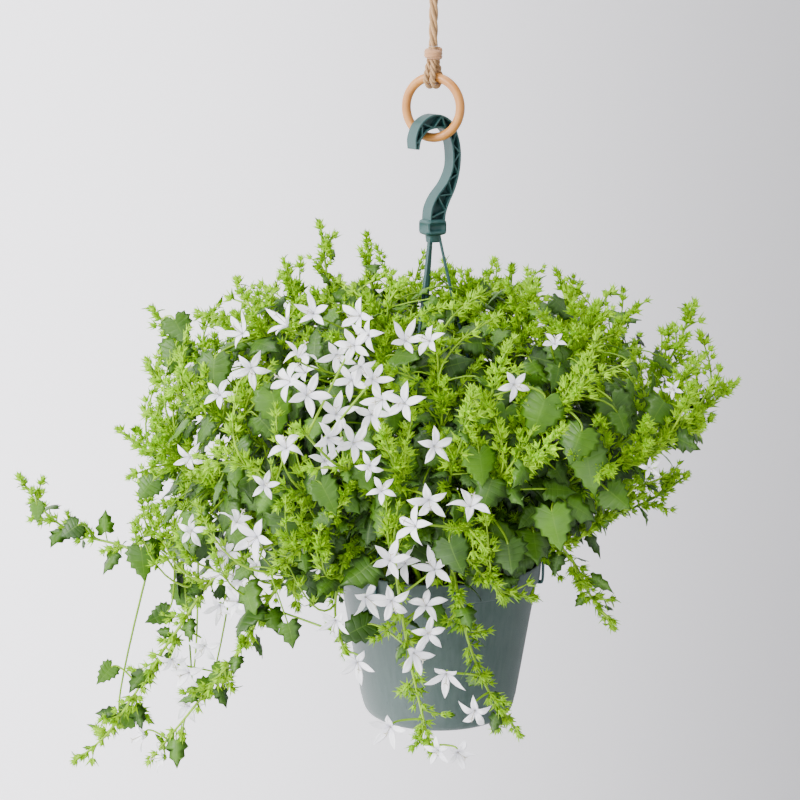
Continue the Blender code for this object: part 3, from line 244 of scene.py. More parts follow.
class Tree:
    """Adds nodes to a node tree and links them."""

    def __init__(self, tree):
        self.tree = tree

    def wire(self, node, inputs):
        """Gives each named input of a node its value, or a link where the value is another node's output."""
        for key, value in inputs.items():
            if isinstance(value, bpy.types.NodeSocket):
                self.tree.links.new(value, node.inputs[key])
            else:
                node.inputs[key].default_value = value

    def add(self, kind, inputs=None, **settings):
        """A new node with its settings and inputs."""
        node = self.tree.nodes.new(kind)
        for key, value in settings.items():
            setattr(node, key, value)
        self.wire(node, inputs or {})
        return node

    def maths(self, operation, a, b=0.0, c=0.0):
        """The result of one sum on up to three values."""
        return self.add("ShaderNodeMath", {0: a, 1: b, 2: c}, operation=operation).outputs[0]

    def mix(self, share, a, b):
        """A colour a share of the way from a to b."""
        return self.add("ShaderNodeMix", {0: share, 6: a, 7: b}, data_type="RGBA").outputs[2]

    def spread(self, value, low, high, to_low=0.0, to_high=1.0):
        """A value's range from low to high, spread over another range and held at its ends."""
        inputs = {0: value, 1: low, 2: high, 3: to_low, 4: to_high}
        return self.add("ShaderNodeMapRange", inputs).outputs[0]

    def object_place(self):
        """The place in metres in the object's own space."""
        return self.add("ShaderNodeTexCoord").outputs["Object"]

    def uv(self):
        """The place on the piece's UV map."""
        return self.add("ShaderNodeUVMap", uv_map="UVMap").outputs[0]

    def parts(self, vector):
        """A vector's three parts."""
        return self.add("ShaderNodeSeparateXYZ", {0: vector}).outputs

    def from_middle(self, value):
        """How far a share lies from one half."""
        return self.maths("ABSOLUTE", self.maths("SUBTRACT", value, 0.5))

    def times(self, vector, other):
        """Two vectors multiplied part by part."""
        return self.add("ShaderNodeVectorMath", {0: vector, 1: other}, operation="MULTIPLY").outputs[0]

    def noise(self, vector, scale, detail=3.0, roughness=0.5):
        """Smooth noise from 0 to 1."""
        inputs = {"Vector": vector, "Scale": scale, "Detail": detail, "Roughness": roughness}
        return self.add("ShaderNodeTexNoise", inputs).outputs[0]

    def raised(self, height, strength, distance, sunk=False):
        """Normals as if the surface rose by a height, in metres, or sank by it."""
        inputs = {"Height": height, "Strength": strength, "Distance": distance}
        return self.add("ShaderNodeBump", inputs, invert=sunk).outputs[0]


def new_finish(name):
    """A material with its tree helper and its shader."""
    made = bpy.data.materials.new(name)
    made.use_nodes = True
    return made, Tree(made.node_tree), made.node_tree.nodes["Principled BSDF"]


def let_light_through(made, tree, shader, share, colour, normal):
    """Mixes a share of translucent light into a finish, in its own colour."""
    glow = tree.add("ShaderNodeBsdfTranslucent", {"Color": colour, "Normal": normal})
    both = tree.add("ShaderNodeMixShader", {0: share, 1: shader.outputs[0], 2: glow.outputs[0]})
    tree.wire(made.node_tree.nodes["Material Output"], {"Surface": both.outputs[0]})


def new_group(name, inputs, outputs):
    """(group, tree, sockets given, result node) of a node group with named sockets."""
    group = bpy.data.node_groups.new(name, "ShaderNodeTree")
    for label, value in inputs.items():
        kind = "NodeSocketFloat" if isinstance(value, float) else "NodeSocketColor"
        group.interface.new_socket(name=label, in_out="INPUT", socket_type=kind).default_value = value
    for label in outputs:
        kind = "NodeSocketColor" if label == "Color" else "NodeSocketFloat"
        group.interface.new_socket(name=label, in_out="OUTPUT", socket_type=kind)
    tree = Tree(group)
    return group, tree, tree.add("NodeGroupInput").outputs, tree.add("NodeGroupOutput")


# %% [markdown]
# ### Living green
#
# No two leaves have the same green. Each organ carries a number from 0 to 1 in an attribute: a random tone,
# and for the inner leaves and the calyces also a painted shade that makes it lower deeper in the bush. A slow
# noise adds mottling inside the organ. The group mixes a dark and a light colour by both.

# %% The living tone group
living, tree, given, result = new_group(
    "living_tone",
    {"Dark": (0.05, 0.15, 0.02, 1), "Light": (0.2, 0.4, 0.05, 1), "Mottle": 300.0},
    ["Color", "Height"],
)
GRAIN_SCALE = 2600.0
place = tree.object_place()
# The attribute holds a random tone, and for the inner leaves and the calyces also painted shade: lower deeper
# in the bush.
tone_and_shade = tree.add("ShaderNodeAttribute", attribute_name="tone_and_shade").outputs["Fac"]
mottling = tree.noise(place, given["Mottle"], 3.0)
share = tree.maths("ADD", tree.maths("MULTIPLY", tone_and_shade, 0.75), tree.maths("MULTIPLY", mottling, 0.5))
green = tree.mix(tree.spread(share, 0.15, 1.05), given["Dark"], given["Light"])
tree.wire(result, {"Color": green, "Height": tree.noise(place, GRAIN_SCALE, 2.0)})
print("living tone", len(living.nodes), "nodes")


def living_green(name, dark, light, mottle, roughness, through, bump):
    """A plant finish: mottled green with light that passes through."""
    made, tree, shader = new_finish(name)
    look = {"Dark": (*dark, 1), "Light": (*light, 1), "Mottle": mottle}
    tone_and_shade = tree.add("ShaderNodeGroup", look, node_tree=living).outputs
    normal = tree.raised(tone_and_shade["Height"], bump, 0.0003)
    looks = {"Base Color": tone_and_shade["Color"], "Normal": normal, "Roughness": roughness}
    tree.wire(shader, looks | {"Specular IOR Level": 0.35})
    let_light_through(made, tree, shader, through, tone_and_shade["Color"], normal)
    return made


# %% [markdown]
# ### Leaves
#
# A campanula's leaf is a mid green heart with paler veins. A soft grey sheen is painted into its colour in
# slow noise patches: a painted highlight, not a colour of the leaf. The blade's own UV map runs across it
# from 0 to 1 and up it from the notch to the tip, so the midrib is the line where u is one half, and the side
# veins leave it at an angle. The veins are both a paler colour and a slight valley.

# %% The leaf finish
VEIN_PAIRS = 7
leaf_finish, tree, shader = new_finish("leaf")
parts = tree.parts(tree.uv())
from_rib = tree.from_middle(parts[0])
midrib = tree.spread(from_rib, 0.006, 0.028, 1.0, 0.0)
wave = tree.maths("ABSOLUTE", tree.maths("SINE", tree.maths("MULTIPLY", parts[1], VEIN_PAIRS * math.pi)))
fading = tree.spread(from_rib, 0.05, 0.5, 0.9, 0.3)
side_vein = tree.maths("MULTIPLY", tree.spread(wave, 0.0, 0.12, 1.0, 0.0), fading)
vein = tree.maths("MAXIMUM", midrib, side_vein)
quilt = tree.maths("MULTIPLY", tree.maths("SQRT", wave), tree.spread(from_rib, 0.0, 0.25, 0.3, 1.0))
look = {"Dark": (0.006, 0.034, 0.002, 1), "Light": (0.11, 0.285, 0.004, 1), "Mottle": 120.0}
tone_and_shade = tree.add("ShaderNodeGroup", look, node_tree=living).outputs
# Painted sheen: slow noise patches mix a pale grey-green into the leaf's colour, as a painted highlight.
painted_sheen_share = tree.spread(tree.noise(tree.object_place(), 45.0, 2.0), 0.46, 0.66, 0.0, 0.34)
sheen = tree.mix(painted_sheen_share, tone_and_shade["Color"], (0.11, 0.20, 0.085, 1))
veined = tree.mix(tree.maths("MULTIPLY", vein, 0.38), sheen, (0.17, 0.34, 0.03, 1))
height = tree.maths("ADD", tree.maths("MULTIPLY", tone_and_shade["Height"], 0.2), quilt)
normal = tree.raised(height, 0.45, 0.0006)
tree.wire(shader, {"Base Color": veined, "Normal": normal, "Roughness": 0.42, "Specular IOR Level": 0.45})
let_light_through(leaf_finish, tree, shader, 0.28, veined, normal)
print("leaf", len(leaf_finish.node_tree.nodes), "nodes")

# %% Stems, calyces and bracts
stem_finish = living_green("stem", (0.10, 0.24, 0.004), (0.32, 0.56, 0.012), 180.0, 0.42, 0.12, 0.2)
calyx_finish = living_green("calyx", (0.12, 0.31, 0.0), (0.46, 0.80, 0.0), 400.0, 0.42, 0.34, 0.2)
bract_finish = living_green("bract", (0.07, 0.20, 0.0), (0.28, 0.54, 0.0), 300.0, 0.48, 0.32, 0.3)

# %% [markdown]
# ### Petals
#
# The petals are white and let light through. Lilac is painted in the throat and along their veins: painted
# shade on the white petals. They also glow a little, which is painted light. The petal's UV map runs across
# it and from the throat to the tip. A fine net of lengthwise lines gives them their silky look.

# %% The petal finish
LINE_DENSITY = 21.0
petal_finish, tree, shader = new_finish("petal")
parts = tree.parts(tree.uv())
lines = tree.maths("SINE", tree.maths("MULTIPLY", tree.from_middle(parts[0]), LINE_DENSITY))
fine = tree.spread(tree.maths("ABSOLUTE", lines), 0.0, 0.35, 1.0, 0.0)
# Lilac in the throat, along the fine lines and in soft clouds is painted shade on the white petals.
throat = tree.spread(parts[1], 0.06, 0.36, 1.0, 0.0)
painted_lilac_shade = tree.maths("ADD", tree.maths("MULTIPLY", throat, 0.24), tree.maths("MULTIPLY", fine, 0.12))
clouds = tree.spread(tree.noise(tree.object_place(), 60.0), 0.45, 0.75, 0.0, 0.10)
coloured = tree.mix(tree.maths("ADD", painted_lilac_shade, clouds), (0.97, 0.97, 0.98, 1), (0.60, 0.58, 0.82, 1))
normal = tree.raised(fine, 0.35, 0.0002, sunk=True)
tree.wire(shader, {"Base Color": coloured, "Normal": normal, "Roughness": 0.5, "Specular IOR Level": 0.3})
# A weak glow in the petals' own colour is painted light: an emission that makes them brighter than the lamps
# alone would.
tree.wire(shader, {"Emission Color": coloured, "Emission Strength": 0.30})
let_light_through(petal_finish, tree, shader, 0.30, coloured, normal)
print("petal", len(petal_finish.node_tree.nodes), "nodes")

# %% The style in the throat
style_finish = living_green("style", (0.62, 0.60, 0.50), (0.85, 0.82, 0.72), 300.0, 0.5, 0.2, 0.1)

# %% [markdown]
# ### Moulded plastic
#
# The pot and the hook are moulded in recycled plastic. It is never one flat colour: dark specks and paler
# streaks lie in it, drawn out in the direction that the melt flowed, and its skin has a very fine grain.
# One group makes the specks, streaks and grain, and the pot and the hook use it with their own values.

# %% The plastic group
plastic, tree, given, result = new_group(
    "moulded_plastic",
    {"Colour": (0.2, 0.3, 0.3, 1), "Specks": 0.5, "Streaks": 0.3, "Stretch": 0.1},
    ["Color", "Roughness", "Height"],
)
place = tree.object_place()
drawn = tree.times(place, tree.add("ShaderNodeCombineXYZ", {0: 1.0, 1: 1.0, 2: given["Stretch"]}).outputs[0])
streak = tree.noise(drawn, 260.0, 4.0, 0.6)
speck = tree.maths("MULTIPLY", tree.spread(tree.noise(drawn, 900.0, 2.0), 0.66, 0.74), given["Specks"])
tint = tree.maths("MULTIPLY", tree.spread(streak, 0.3, 0.7), given["Streaks"])
paler = tree.mix(tint, given["Colour"], (0.55, 0.62, 0.60, 1))
tree.wire(result, {
    "Color": tree.mix(speck, paler, (0.03, 0.05, 0.05, 1)),
    "Roughness": tree.spread(streak, 0.3, 0.7, 0.42, 0.56),
    "Height": tree.noise(place, 3000.0, 2.0),
})


def plastic_finish(name, colour, specks, streaks, stretch, bump):
    """Moulded plastic of one colour, with its specks and streaks and how far the melt drew them out."""
    made, tree, shader = new_finish(name)
    look = {"Colour": (*colour, 1), "Specks": specks, "Streaks": streaks, "Stretch": stretch}
    skin = tree.add("ShaderNodeGroup", look, node_tree=plastic).outputs
    normal = tree.raised(skin["Height"], bump, 0.0002)
    looks = {"Base Color": skin["Color"], "Roughness": skin["Roughness"], "Normal": normal}
    tree.wire(shader, looks | {"Specular IOR Level": 0.4})
    return made


pot_finish = plastic_finish("pot_plastic", (0.038, 0.067, 0.058), 0.9, 0.05, 0.12, 0.35)
hook_finish = plastic_finish("hook_plastic", (0.010, 0.057, 0.053), 0.25, 0.035, 0.4, 0.3)

# %% [markdown]
# ### Jute and wood
#
# The rope's strands are twisted fibres: long fine lines that run along each strand, with a hair or two out
# of place. The rope's UV map runs round the strand and along it, so stretched noise in UV becomes fibre.
# The ring is turned beech: pale orange with short dark pores along the grain, which here runs straight
# through the ring.

# %% The jute group and its two colours
FIBRE_STRETCH = (60.0, 0.9, 1.0)
fibre, tree, given, result = new_group(
    "laid_fibre", {"Dark": (0.2, 0.13, 0.08, 1), "Light": (0.6, 0.48, 0.35, 1)}, ["Color", "Height"]
)
uv = tree.uv()
hair = tree.noise(tree.times(uv, FIBRE_STRETCH), 1.0, 4.0, 0.65)
patch = tree.noise(uv, 2.0, 2.0)
share = tree.maths("ADD", tree.maths("MULTIPLY", hair, 0.8), tree.maths("MULTIPLY", patch, 0.3))
fibre_colour = tree.mix(tree.spread(share, 0.3, 0.8), given["Dark"], given["Light"])
tree.wire(result, {"Color": fibre_colour, "Height": hair})


def jute_finish(name, dark, light):
    """Laid fibre between a dark and a light colour."""
    made, tree, shader = new_finish(name)
    laid = tree.add("ShaderNodeGroup", {"Dark": (*dark, 1), "Light": (*light, 1)}, node_tree=fibre).outputs
    normal = tree.raised(laid["Height"], 0.8, 0.0004)
    tree.wire(shader, {"Base Color": laid["Color"], "Normal": normal, "Roughness": 0.85, "Sheen Weight": 0.3})
    return made


rope_finish = jute_finish("jute", (0.20, 0.095, 0.028), (0.60, 0.36, 0.15))
whipping_finish = jute_finish("whipping_cord", (0.38, 0.18, 0.075), (0.58, 0.31, 0.14))

# %% The wood finish
GRAIN_TURN = (0.3, 0.2, 0.1)
wood_finish, tree, shader = new_finish("turned_wood")
place = tree.object_place()


def along_grain(scale):
    """The object's own places, turned to the wood's grain and scaled along and across it."""
    inputs = {"Vector": place, "Rotation": GRAIN_TURN, "Scale": scale}
    return tree.add("ShaderNodeMapping", inputs).outputs[0]


grain = tree.noise(along_grain((60, 500, 60)), 1.0, 5.0, 0.6)
pores = tree.spread(tree.noise(along_grain((300, 2600, 2600)), 1.0, 2.0), 0.64, 0.72)
base = tree.mix(tree.spread(grain, 0.3, 0.7), (0.40, 0.150, 0.024, 1), (0.53, 0.235, 0.048, 1))
base = tree.mix(tree.maths("MULTIPLY", pores, 0.5), base, (0.28, 0.11, 0.03, 1))
normal = tree.raised(pores, 0.3, 0.0002, sunk=True)
tree.wire(shader, {"Base Color": base, "Normal": normal, "Roughness": 0.42, "Coat Weight": 0.15})

# %% The soil finish
soil_finish, tree, shader = new_finish("potting_soil")
crumb = tree.noise(tree.object_place(), 420.0, 5.0, 0.7)
earth = tree.mix(tree.spread(crumb, 0.35, 0.75), (0.012, 0.008, 0.005, 1), (0.085, 0.055, 0.032, 1))
tree.wire(shader, {"Base Color": earth, "Normal": tree.raised(crumb, 1.0, 0.002), "Roughness": 0.95})
print("finishes", len(bpy.data.materials))

# %% [markdown]
# ## The rope
#
# A laid rope is strands twisted round each other. Its outline is the union of a few circles, and it turns
# as it goes: for a strand of radius a whose middle lies b from the rope's axis, the outline's radius at an
# angle d from that strand is b cos d + sqrt(a^2 - b^2 sin^2 d). The profile is carried along the path and
# turned once each lay length.

# %% A laid rope
FIBRE_REPEAT = 6.0


def laid_rope(name, path, radius, lay, material, reference, strands=3, sides=30, cap=True):
    """A twisted rope along a path, with a UV map that follows its strands."""
    fill = radius / (1 + 1 / math.sin(math.pi / strands))
    middle = radius - fill
    path = np.asarray(path, float)
    _, side, over = path_frames(path, reference)
    length = length_along(path)
    turn = full_turn(sides)
    sector = 2 * math.pi / strands
    local = (turn + sector / 2) % sector - sector / 2
    reach = middle * np.cos(local) + np.sqrt(np.maximum(fill**2 - (middle * np.sin(local)) ** 2, 0))
    angle = turn[None] + (length * 2 * math.pi / lay)[:, None]
    round_path = about(angle, side[:, None], over[:, None])
    points = (path[:, None] + round_path * reach[None, :, None]).reshape(-1, 3)
    along = np.broadcast_to(length[:, None] / FIBRE_REPEAT, angle.shape)
    uv = np.stack([np.broadcast_to(turn / sector, angle.shape), along], axis=-1).reshape(-1, 2)
    faces = [grid_faces(len(path), sides, round_columns=True)]
    if cap:
        points = np.vstack([points, path[:1], path[-1:]])
        uv = np.vstack([uv, uv[:1], uv[-1:]])
        k = np.arange(sides)
        k_next = (k + 1) % sides
        last = sides * (len(path) - 1)
        low = np.stack([k_next, k, np.full(sides, len(points) - 2)], axis=1)
        high = np.stack([last + k, last + k_next, np.full(sides, len(points) - 1)], axis=1)
        faces.append(np.vstack([low, high]))
    return make_piece(name, points, faces, material, uv)


RING_RADIUS = 20.9
RING_TUBE = 3.2
RING_CENTRE = np.array([-0.5, -0.4, -122.4])
RING_TURN = math.radians(-27)
ROPE_RADIUS = 3.1
ROPE_TOP_Z = -13.0
ROPE_LAY = 44.0
WHIPPING_TOP_Z = -80.7
WHIPPING_HEIGHT = 9.4
EYE_STRAND = 2.3
GAP = 0.3
UP = np.array([0, 0, 1.0])
AWAY = (0.0, 1.0, 0.0)

throat = RING_CENTRE * [1, 1, 0]
rope_start = throat + UP * (WHIPPING_TOP_Z + GAP)
rope_end = UP * ROPE_TOP_Z
rope_path = rope_start + (rope_end - rope_start) * np.linspace(0, 1, 44)[:, None]
rope = laid_rope("rope", rope_path, ROPE_RADIUS + 0.1, ROPE_LAY, rope_finish, AWAY, strands=4, sides=40)
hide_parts("rope")

# %% [markdown]
# ### The knot, the whipping and the eye
#
# The knot is an overhand knot: its middle line is a trefoil, the curve (sin t + 2 sin 2t, cos t - 2 cos 2t,
# -sin 3t). The whipping is a flat cord wound twice as a helix, with the rope's closed end inside it. The
# eye is the same rope, thinner, which goes down in front of the ring's top, under it and up behind it,
# twice side by side.

# %% The knot
KNOT_SIZE, KNOT_STRAND, KNOT_LAY, KNOT_MIDDLE = 1.5, 2.1, 15.0, -7.2
turn = np.linspace(0, 2 * math.pi, 90)
trefoil = np.column_stack([
    np.sin(turn) + 2 * np.sin(2 * turn), -np.sin(3 * turn) * 1.15, np.cos(turn) - 2 * np.cos(2 * turn),
])
knot_path = trefoil * KNOT_SIZE + [0, 0, KNOT_MIDDLE]
knot = laid_rope("rope_knot_turns", knot_path, KNOT_STRAND, KNOT_LAY, rope_finish, (0.2, 1.0, 0.1), cap=False)
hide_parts("rope_knot")
print("knot", triangle_count(knot), "triangles")

# %% The whipping, and the rope's closed end inside it
WHIPPING_CORD, WHIPPING_REACH, WHIPPING_LAY = 2.4, 4.15, 60.0
CLOSED_END = 3.4
turn = np.linspace(0, 4 * math.pi + 0.5, 90)
level = WHIPPING_TOP_Z - WHIPPING_CORD - (WHIPPING_HEIGHT - 2 * WHIPPING_CORD) * turn / turn[-1]
helix = np.column_stack([WHIPPING_REACH * np.cos(turn), WHIPPING_REACH * np.sin(turn), level])
whipping_path = throat + helix
whipping = laid_rope(
    "whipping_turns", whipping_path, WHIPPING_CORD, WHIPPING_LAY, whipping_finish, (0.0, 0.0, 1.0), strands=9
)
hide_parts("whipping")
levels = np.linspace(WHIPPING_TOP_Z + 0.1, WHIPPING_TOP_Z - WHIPPING_HEIGHT - 1.5, 14)
rope_throat = laid_rope(
    "rope_throat", throat + levels[:, None] * UP, CLOSED_END, ROPE_LAY, rope_finish, AWAY, strands=4
)
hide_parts("rope_eye")
print("whipping", triangle_count(whipping), "triangles")

# %% The eye
ring_along = np.array([math.cos(RING_TURN), math.sin(RING_TURN), 0])
ring_facing = np.array([math.sin(RING_TURN), -math.cos(RING_TURN), 0])
ring_top = RING_CENTRE + UP * RING_RADIUS
wrap = RING_TUBE + GAP + EYE_STRAND + 0.2
EYE_LAY = 14.0
gather = WHIPPING_TOP_Z - WHIPPING_HEIGHT
half_turn = np.linspace(0, math.pi, 9)[:, None]
for number, side in enumerate((-1, 1)):
    shift = ring_along * side * (EYE_STRAND + 0.1)
    front = throat + ring_facing * 2.0 + shift * 0.55
    back = throat - ring_facing * 2.0 + shift * 0.55
    under = ring_top + ring_facing * wrap * np.cos(half_turn) - wrap * UP * np.sin(half_turn) + shift
    into = np.append(0.45 * front[:2] + 0.55 * under[0][:2], gather - 4.5)
    high, low = UP * (gather + 7), UP * (gather + 2)
    route = np.vstack([front + high, front + low, into, under, back + low, back + high])
    eye_path = smooth_path(route, 1.1)
    name = f"eye_turn_{number + 1}"
    turned = laid_rope(name, eye_path, EYE_STRAND, EYE_LAY, rope_finish, ring_along, sides=24)
    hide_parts("rope_eye")
print("eye", triangle_count(turned), "triangles a turn")

# %% [markdown]
# ## The wooden ring
#
# A turned ring is a torus: a circle of radius r carried round a circle of radius R. A real one is not
# perfect, so the tube's radius swells a little here and there.

# %% The ring
RING_STEPS, TUBE_STEPS = 120, 28
RING_SWELL = 0.012
round_ring = np.linspace(0, 2 * math.pi, RING_STEPS, endpoint=False)[:, None]
round_tube = np.linspace(0, 2 * math.pi, TUBE_STEPS, endpoint=False)[None]
tube = RING_TUBE * (1 + RING_SWELL * np.sin(3 * round_ring + 1) * np.cos(round_tube))
reach = RING_RADIUS + tube * np.cos(round_tube)
depth = tube * np.sin(round_tube)
ring_points = RING_CENTRE + reach[..., None] * about(round_ring, ring_along, UP)
ring_points = ring_points + depth[..., None] * ring_facing
ring_faces = grid_faces(RING_STEPS, TUBE_STEPS, True, True)[:, ::-1]
ring = make_piece("ring_turned", ring_points, [ring_faces], wood_finish)
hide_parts("wood_ring")
print("ring", triangle_count(ring), "triangles")

# %% [markdown]
# ## The hook
#
# The hook is one moulding. Its shank is an I-beam bent into an S: two thin flanges joined by a web, with
# triangular ribs in the recesses. The I-shaped profile is carried along the hook's middle line, and its
# height follows the hook's width. At the tip the web grows as thick as the flanges are deep, which closes
# the end.

# %% The hook's plane and middle line
HOOK_TURN = math.radians(29)
HOOK_DEPTH = 12.4
HOOK_FLANGE = 1.3
HOOK_LINE = np.array([
    (-15.6, -150.9, 1.5), (-14.7, -143.0, 2.6), (-9.4, -135.2, 4.0), (-0.4, -131.8, 4.9), (8.9, -134.5, 3.8),
    (13.9, -143.2, 3.3), (16.0, -153.7, 3.3), (15.4, -165.5, 3.2), (11.2, -177.0, 4.2), (5.0, -186.5, 5.6),
    (1.6, -194.0, 6.1), (0.6, -201.5, 6.0),
])
hook_along = np.array([math.cos(HOOK_TURN), math.sin(HOOK_TURN), 0])
hook_across = np.array([math.sin(HOOK_TURN), -math.cos(HOOK_TURN), 0])


def in_hook(flat, across=0.0):
    """Places in the hook's own plane from (along, height) pairs, moved across it."""
    flat = np.asarray(flat, float)
    in_plane = throat + flat[..., :1] * hook_along + flat[..., 1:2] * UP
    return in_plane + np.asarray(across)[..., None] * hook_across


hook_line = smooth_path(HOOK_LINE, 1.15)
stations = len(hook_line)
hook_run = units(np.gradient(hook_line[:, :2], axis=0))
hook_normal = np.column_stack([-hook_run[:, 1], hook_run[:, 0]])
half_width = hook_line[:, 2]
print("hook stations", stations)

# %% The I-beam
HALF_WEB = 0.5
half_depth = HOOK_DEPTH / 2


def moulded(name, points, faces, smooth=True):
    """A piece of the hook's plastic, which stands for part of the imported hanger."""
    piece = make_piece(name, points, faces, hook_finish, smooth=smooth)
    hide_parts("hanger")
    return piece


def recalculate(piece, merge=0.0):
    """Joins doubles where asked, and turns all faces outwards."""
    shape = bmesh.new()
    shape.from_mesh(piece.data)
    if merge:
        bmesh.ops.remove_doubles(shape, verts=shape.verts, dist=merge)
    bmesh.ops.recalc_face_normals(shape, faces=shape.faces)
    shape.to_mesh(piece.data)
    shape.free()


def soften(piece, width, segments=2, angle=35):
    """Rounds the sharp edges, and shades the rest smooth."""
    recalculate(piece)
    round_off = piece.modifiers.new("Rounded edges", "BEVEL")
    round_off.width = width * MM
    round_off.segments = segments
    round_off.limit_method = "ANGLE"
    round_off.angle_limit = math.radians(angle)
    piece.data.shade_smooth()
    piece.data.set_sharp_from_angle(angle=math.radians(angle))


closing = np.clip(1 - np.arange(stations) / 2.0, 0, 1)
web = HALF_WEB + (half_depth - 2 * HALF_WEB) * closing
inner = half_width - HOOK_FLANGE
up = np.stack([half_width, inner, inner, -inner, -inner, -half_width], axis=1)
wide = np.full(stations, half_depth)
out = np.stack([wide, wide, web, web, wide, wide], axis=1)
outline_up = np.concatenate([up, up[:, ::-1]], axis=1)
outline_out = np.concatenate([out, -out[:, ::-1]], axis=1)
flat = hook_line[:, None, :2] + outline_up[..., None] * hook_normal[:, None]
caps = np.array([range(12), range(12 * (stations - 1), 12 * stations)])
beam_faces = [grid_faces(stations, 12, round_columns=True), caps]
beam = moulded("hook_beam", in_hook(flat, outline_out), beam_faces, smooth=False)
soften(beam, 0.35)
print("beam", triangle_count(beam), "triangles before its edges are rounded")

# %% [markdown]
# ### Ribs, collar and arms
#
# The ribs are thin plates that zig-zag between the flanges. The collar is a rounded block with a dish in
# each face: a superellipsoid whose four sides are pressed in. Each arm is a strap whose section is a
# flattened oval, which widens into a clip over the pot's rim.

# %% The ribs
RIB_PITCH = 6
HALF_RIB = 0.5
RIB_SET_BACK = 0.15
RIB_BITE = 0.6
low = np.arange(3, stations - 8, RIB_PITCH)
outer_edge = hook_line[:, :2] + hook_normal * (half_width - RIB_BITE)[:, None]
inner_edge = hook_line[:, :2] - hook_normal * (half_width - RIB_BITE)[:, None]
is_even = (np.arange(len(low)) % 2 == 0)[:, None]
rib_start = np.where(is_even, outer_edge[low], inner_edge[low])
rib_end = np.where(is_even, inner_edge[low + RIB_PITCH], outer_edge[low + RIB_PITCH])
rib_run = units(rib_end - rib_start)
rib_side = np.column_stack([-rib_run[:, 1], rib_run[:, 0]]) * HALF_RIB
corners = np.stack([
    rib_start + rib_side, rib_end + rib_side, rib_end - rib_side, rib_start - rib_side,
], axis=1)
rib_depth = np.full(corners.shape[:2], half_depth - RIB_SET_BACK)
rib_points = np.concatenate([in_hook(corners, rib_depth), in_hook(corners, -rib_depth)], axis=1)
box = np.array([[0, 1, 2, 3], [7, 6, 5, 4], [0, 4, 5, 1], [1, 5, 6, 2], [2, 6, 7, 3], [3, 7, 4, 0]])
rib_faces = (box[None] + 8 * np.arange(len(low))[:, None, None]).reshape(-1, 4)
soften(moulded("hook_ribs", rib_points, [rib_faces], smooth=False), 0.18)
print("ribs", len(low))

# %% The collar
COLLAR_SIDE = 14.5
COLLAR_TOP_Z = -200.0
COLLAR_HEIGHT = 11.5
COLLAR_DISHES = (1.6, 3.2)
SQUARENESS = 0.36
BLOCK_STEPS = 14
POLE = math.pi / 2 - 1e-4


def power(values, exponent):
    """A power that keeps each value's sign."""
    return np.sign(values) * np.abs(values) ** exponent


def rounded_block(half):
    """A superellipsoid, dished in its four sides: each axis is a sine or cosine raised to a low power.

    The angles are spaced so that the points lie evenly over each face. A dish is deepest in the middle of its
    face and fades as the exponential of minus a high power of the way to the face's edge.
    """
    even = np.linspace(-0.97, 0.97, BLOCK_STEPS)
    quarter = np.arccos(power(even, 1 / SQUARENESS))[::-1]
    turn = np.concatenate([quarter + k * math.pi / 2 for k in range(4)])[None]
    lift = np.concatenate([[-POLE], quarter - math.pi / 2, [POLE]])[:, None]
    level = power(np.cos(lift), SQUARENESS)
    x = level * power(np.cos(turn), SQUARENESS) * half[0]
    y = level * power(np.sin(turn), SQUARENESS) * half[1]
    z = power(np.sin(lift), SQUARENESS) * np.ones_like(turn) * half[2]

    def pressed_in(near, near_half, far, far_half, depth):
        """One axis of the block with its face dished."""
        dish = depth * np.exp(-((far / (0.72 * far_half)) ** 8) - (z / (0.46 * half[2])) ** 6)
        on_face = (np.abs(near) > 0.6 * near_half) & (np.abs(far) < 0.8 * far_half)
        return near - np.sign(near) * dish * on_face

    dished_x = pressed_in(x, half[0], y, half[1], COLLAR_DISHES[0])
    dished_y = pressed_in(y, half[1], x, half[0], COLLAR_DISHES[1])
    return np.stack([dished_x, dished_y, z], axis=-1)


collar_centre = throat + UP * (COLLAR_TOP_Z - COLLAR_HEIGHT / 2)
half = (COLLAR_SIDE / 2 + 0.7, COLLAR_SIDE / 2 + 0.7, COLLAR_HEIGHT / 2)
collar_points = collar_centre + rounded_block(half) @ np.array([hook_along, hook_across, UP])
collar_faces = grid_faces(BLOCK_STEPS + 2, 4 * BLOCK_STEPS, round_columns=True)
collar = moulded("hook_collar", collar_points, [collar_faces])
recalculate(collar, 1e-5)
print("collar", triangle_count(collar), "triangles")

# %% The arms
POT_AXIS_X = 4.5
POT_AXIS = np.array([POT_AXIS_X, 0.0, 0.0])
POT_RIM_RADIUS = 75.0
POT_HEIGHT = 115.0
POT_BASE_Z = -561.0
POT_RIM_Z = POT_BASE_Z + POT_HEIGHT
POT_BAND_HEIGHT = 14.5
ARM_WIDTH = 3.3
ARM_THICKNESS = 2.2
ARM_ANGLES = [math.radians(angle) for angle in (-8, 112, -128)]
CLIP_HALF_WIDTH = 3.0
OVAL_SIDES = 16
OVAL_POWER = 0.55
COLLAR_END = COLLAR_TOP_Z - COLLAR_HEIGHT


def arm_path(angle):
    """One arm's middle line, from inside the collar, bowing out to the rim and over it to its toe."""
    heights = [COLLAR_END + 4, COLLAR_END - 6, -271, -309, -360, -410, POT_RIM_Z + 9]
    reaches = [4.0, 5.2, 16.5, 26.5, 43.0, 60.5, 72.0]
    points = []
    for height, reach in zip(heights, reaches):
        share = (COLLAR_END - height) / (COLLAR_END - POT_RIM_Z)
        drift = POT_AXIS_X * min(max(share, 0), 1)
        points.append((drift + reach * math.cos(angle), reach * math.sin(angle), height))
    return np.array(points)


def capped(rows, columns):
    """Grid faces for a round tube, with a many-sided cap at each end."""
    ends = np.array([range(columns), range(columns * (rows - 1), columns * rows)])
    return [grid_faces(rows, columns, round_columns=True), ends]


def strap(name, path, square, thick, wide):
    """A flattened oval carried along a path, half as thick and half as wide as given."""
    piece = moulded(name, carry(oval, path, square, thick, wide), capped(len(path), OVAL_SIDES))
    recalculate(piece)
    return piece


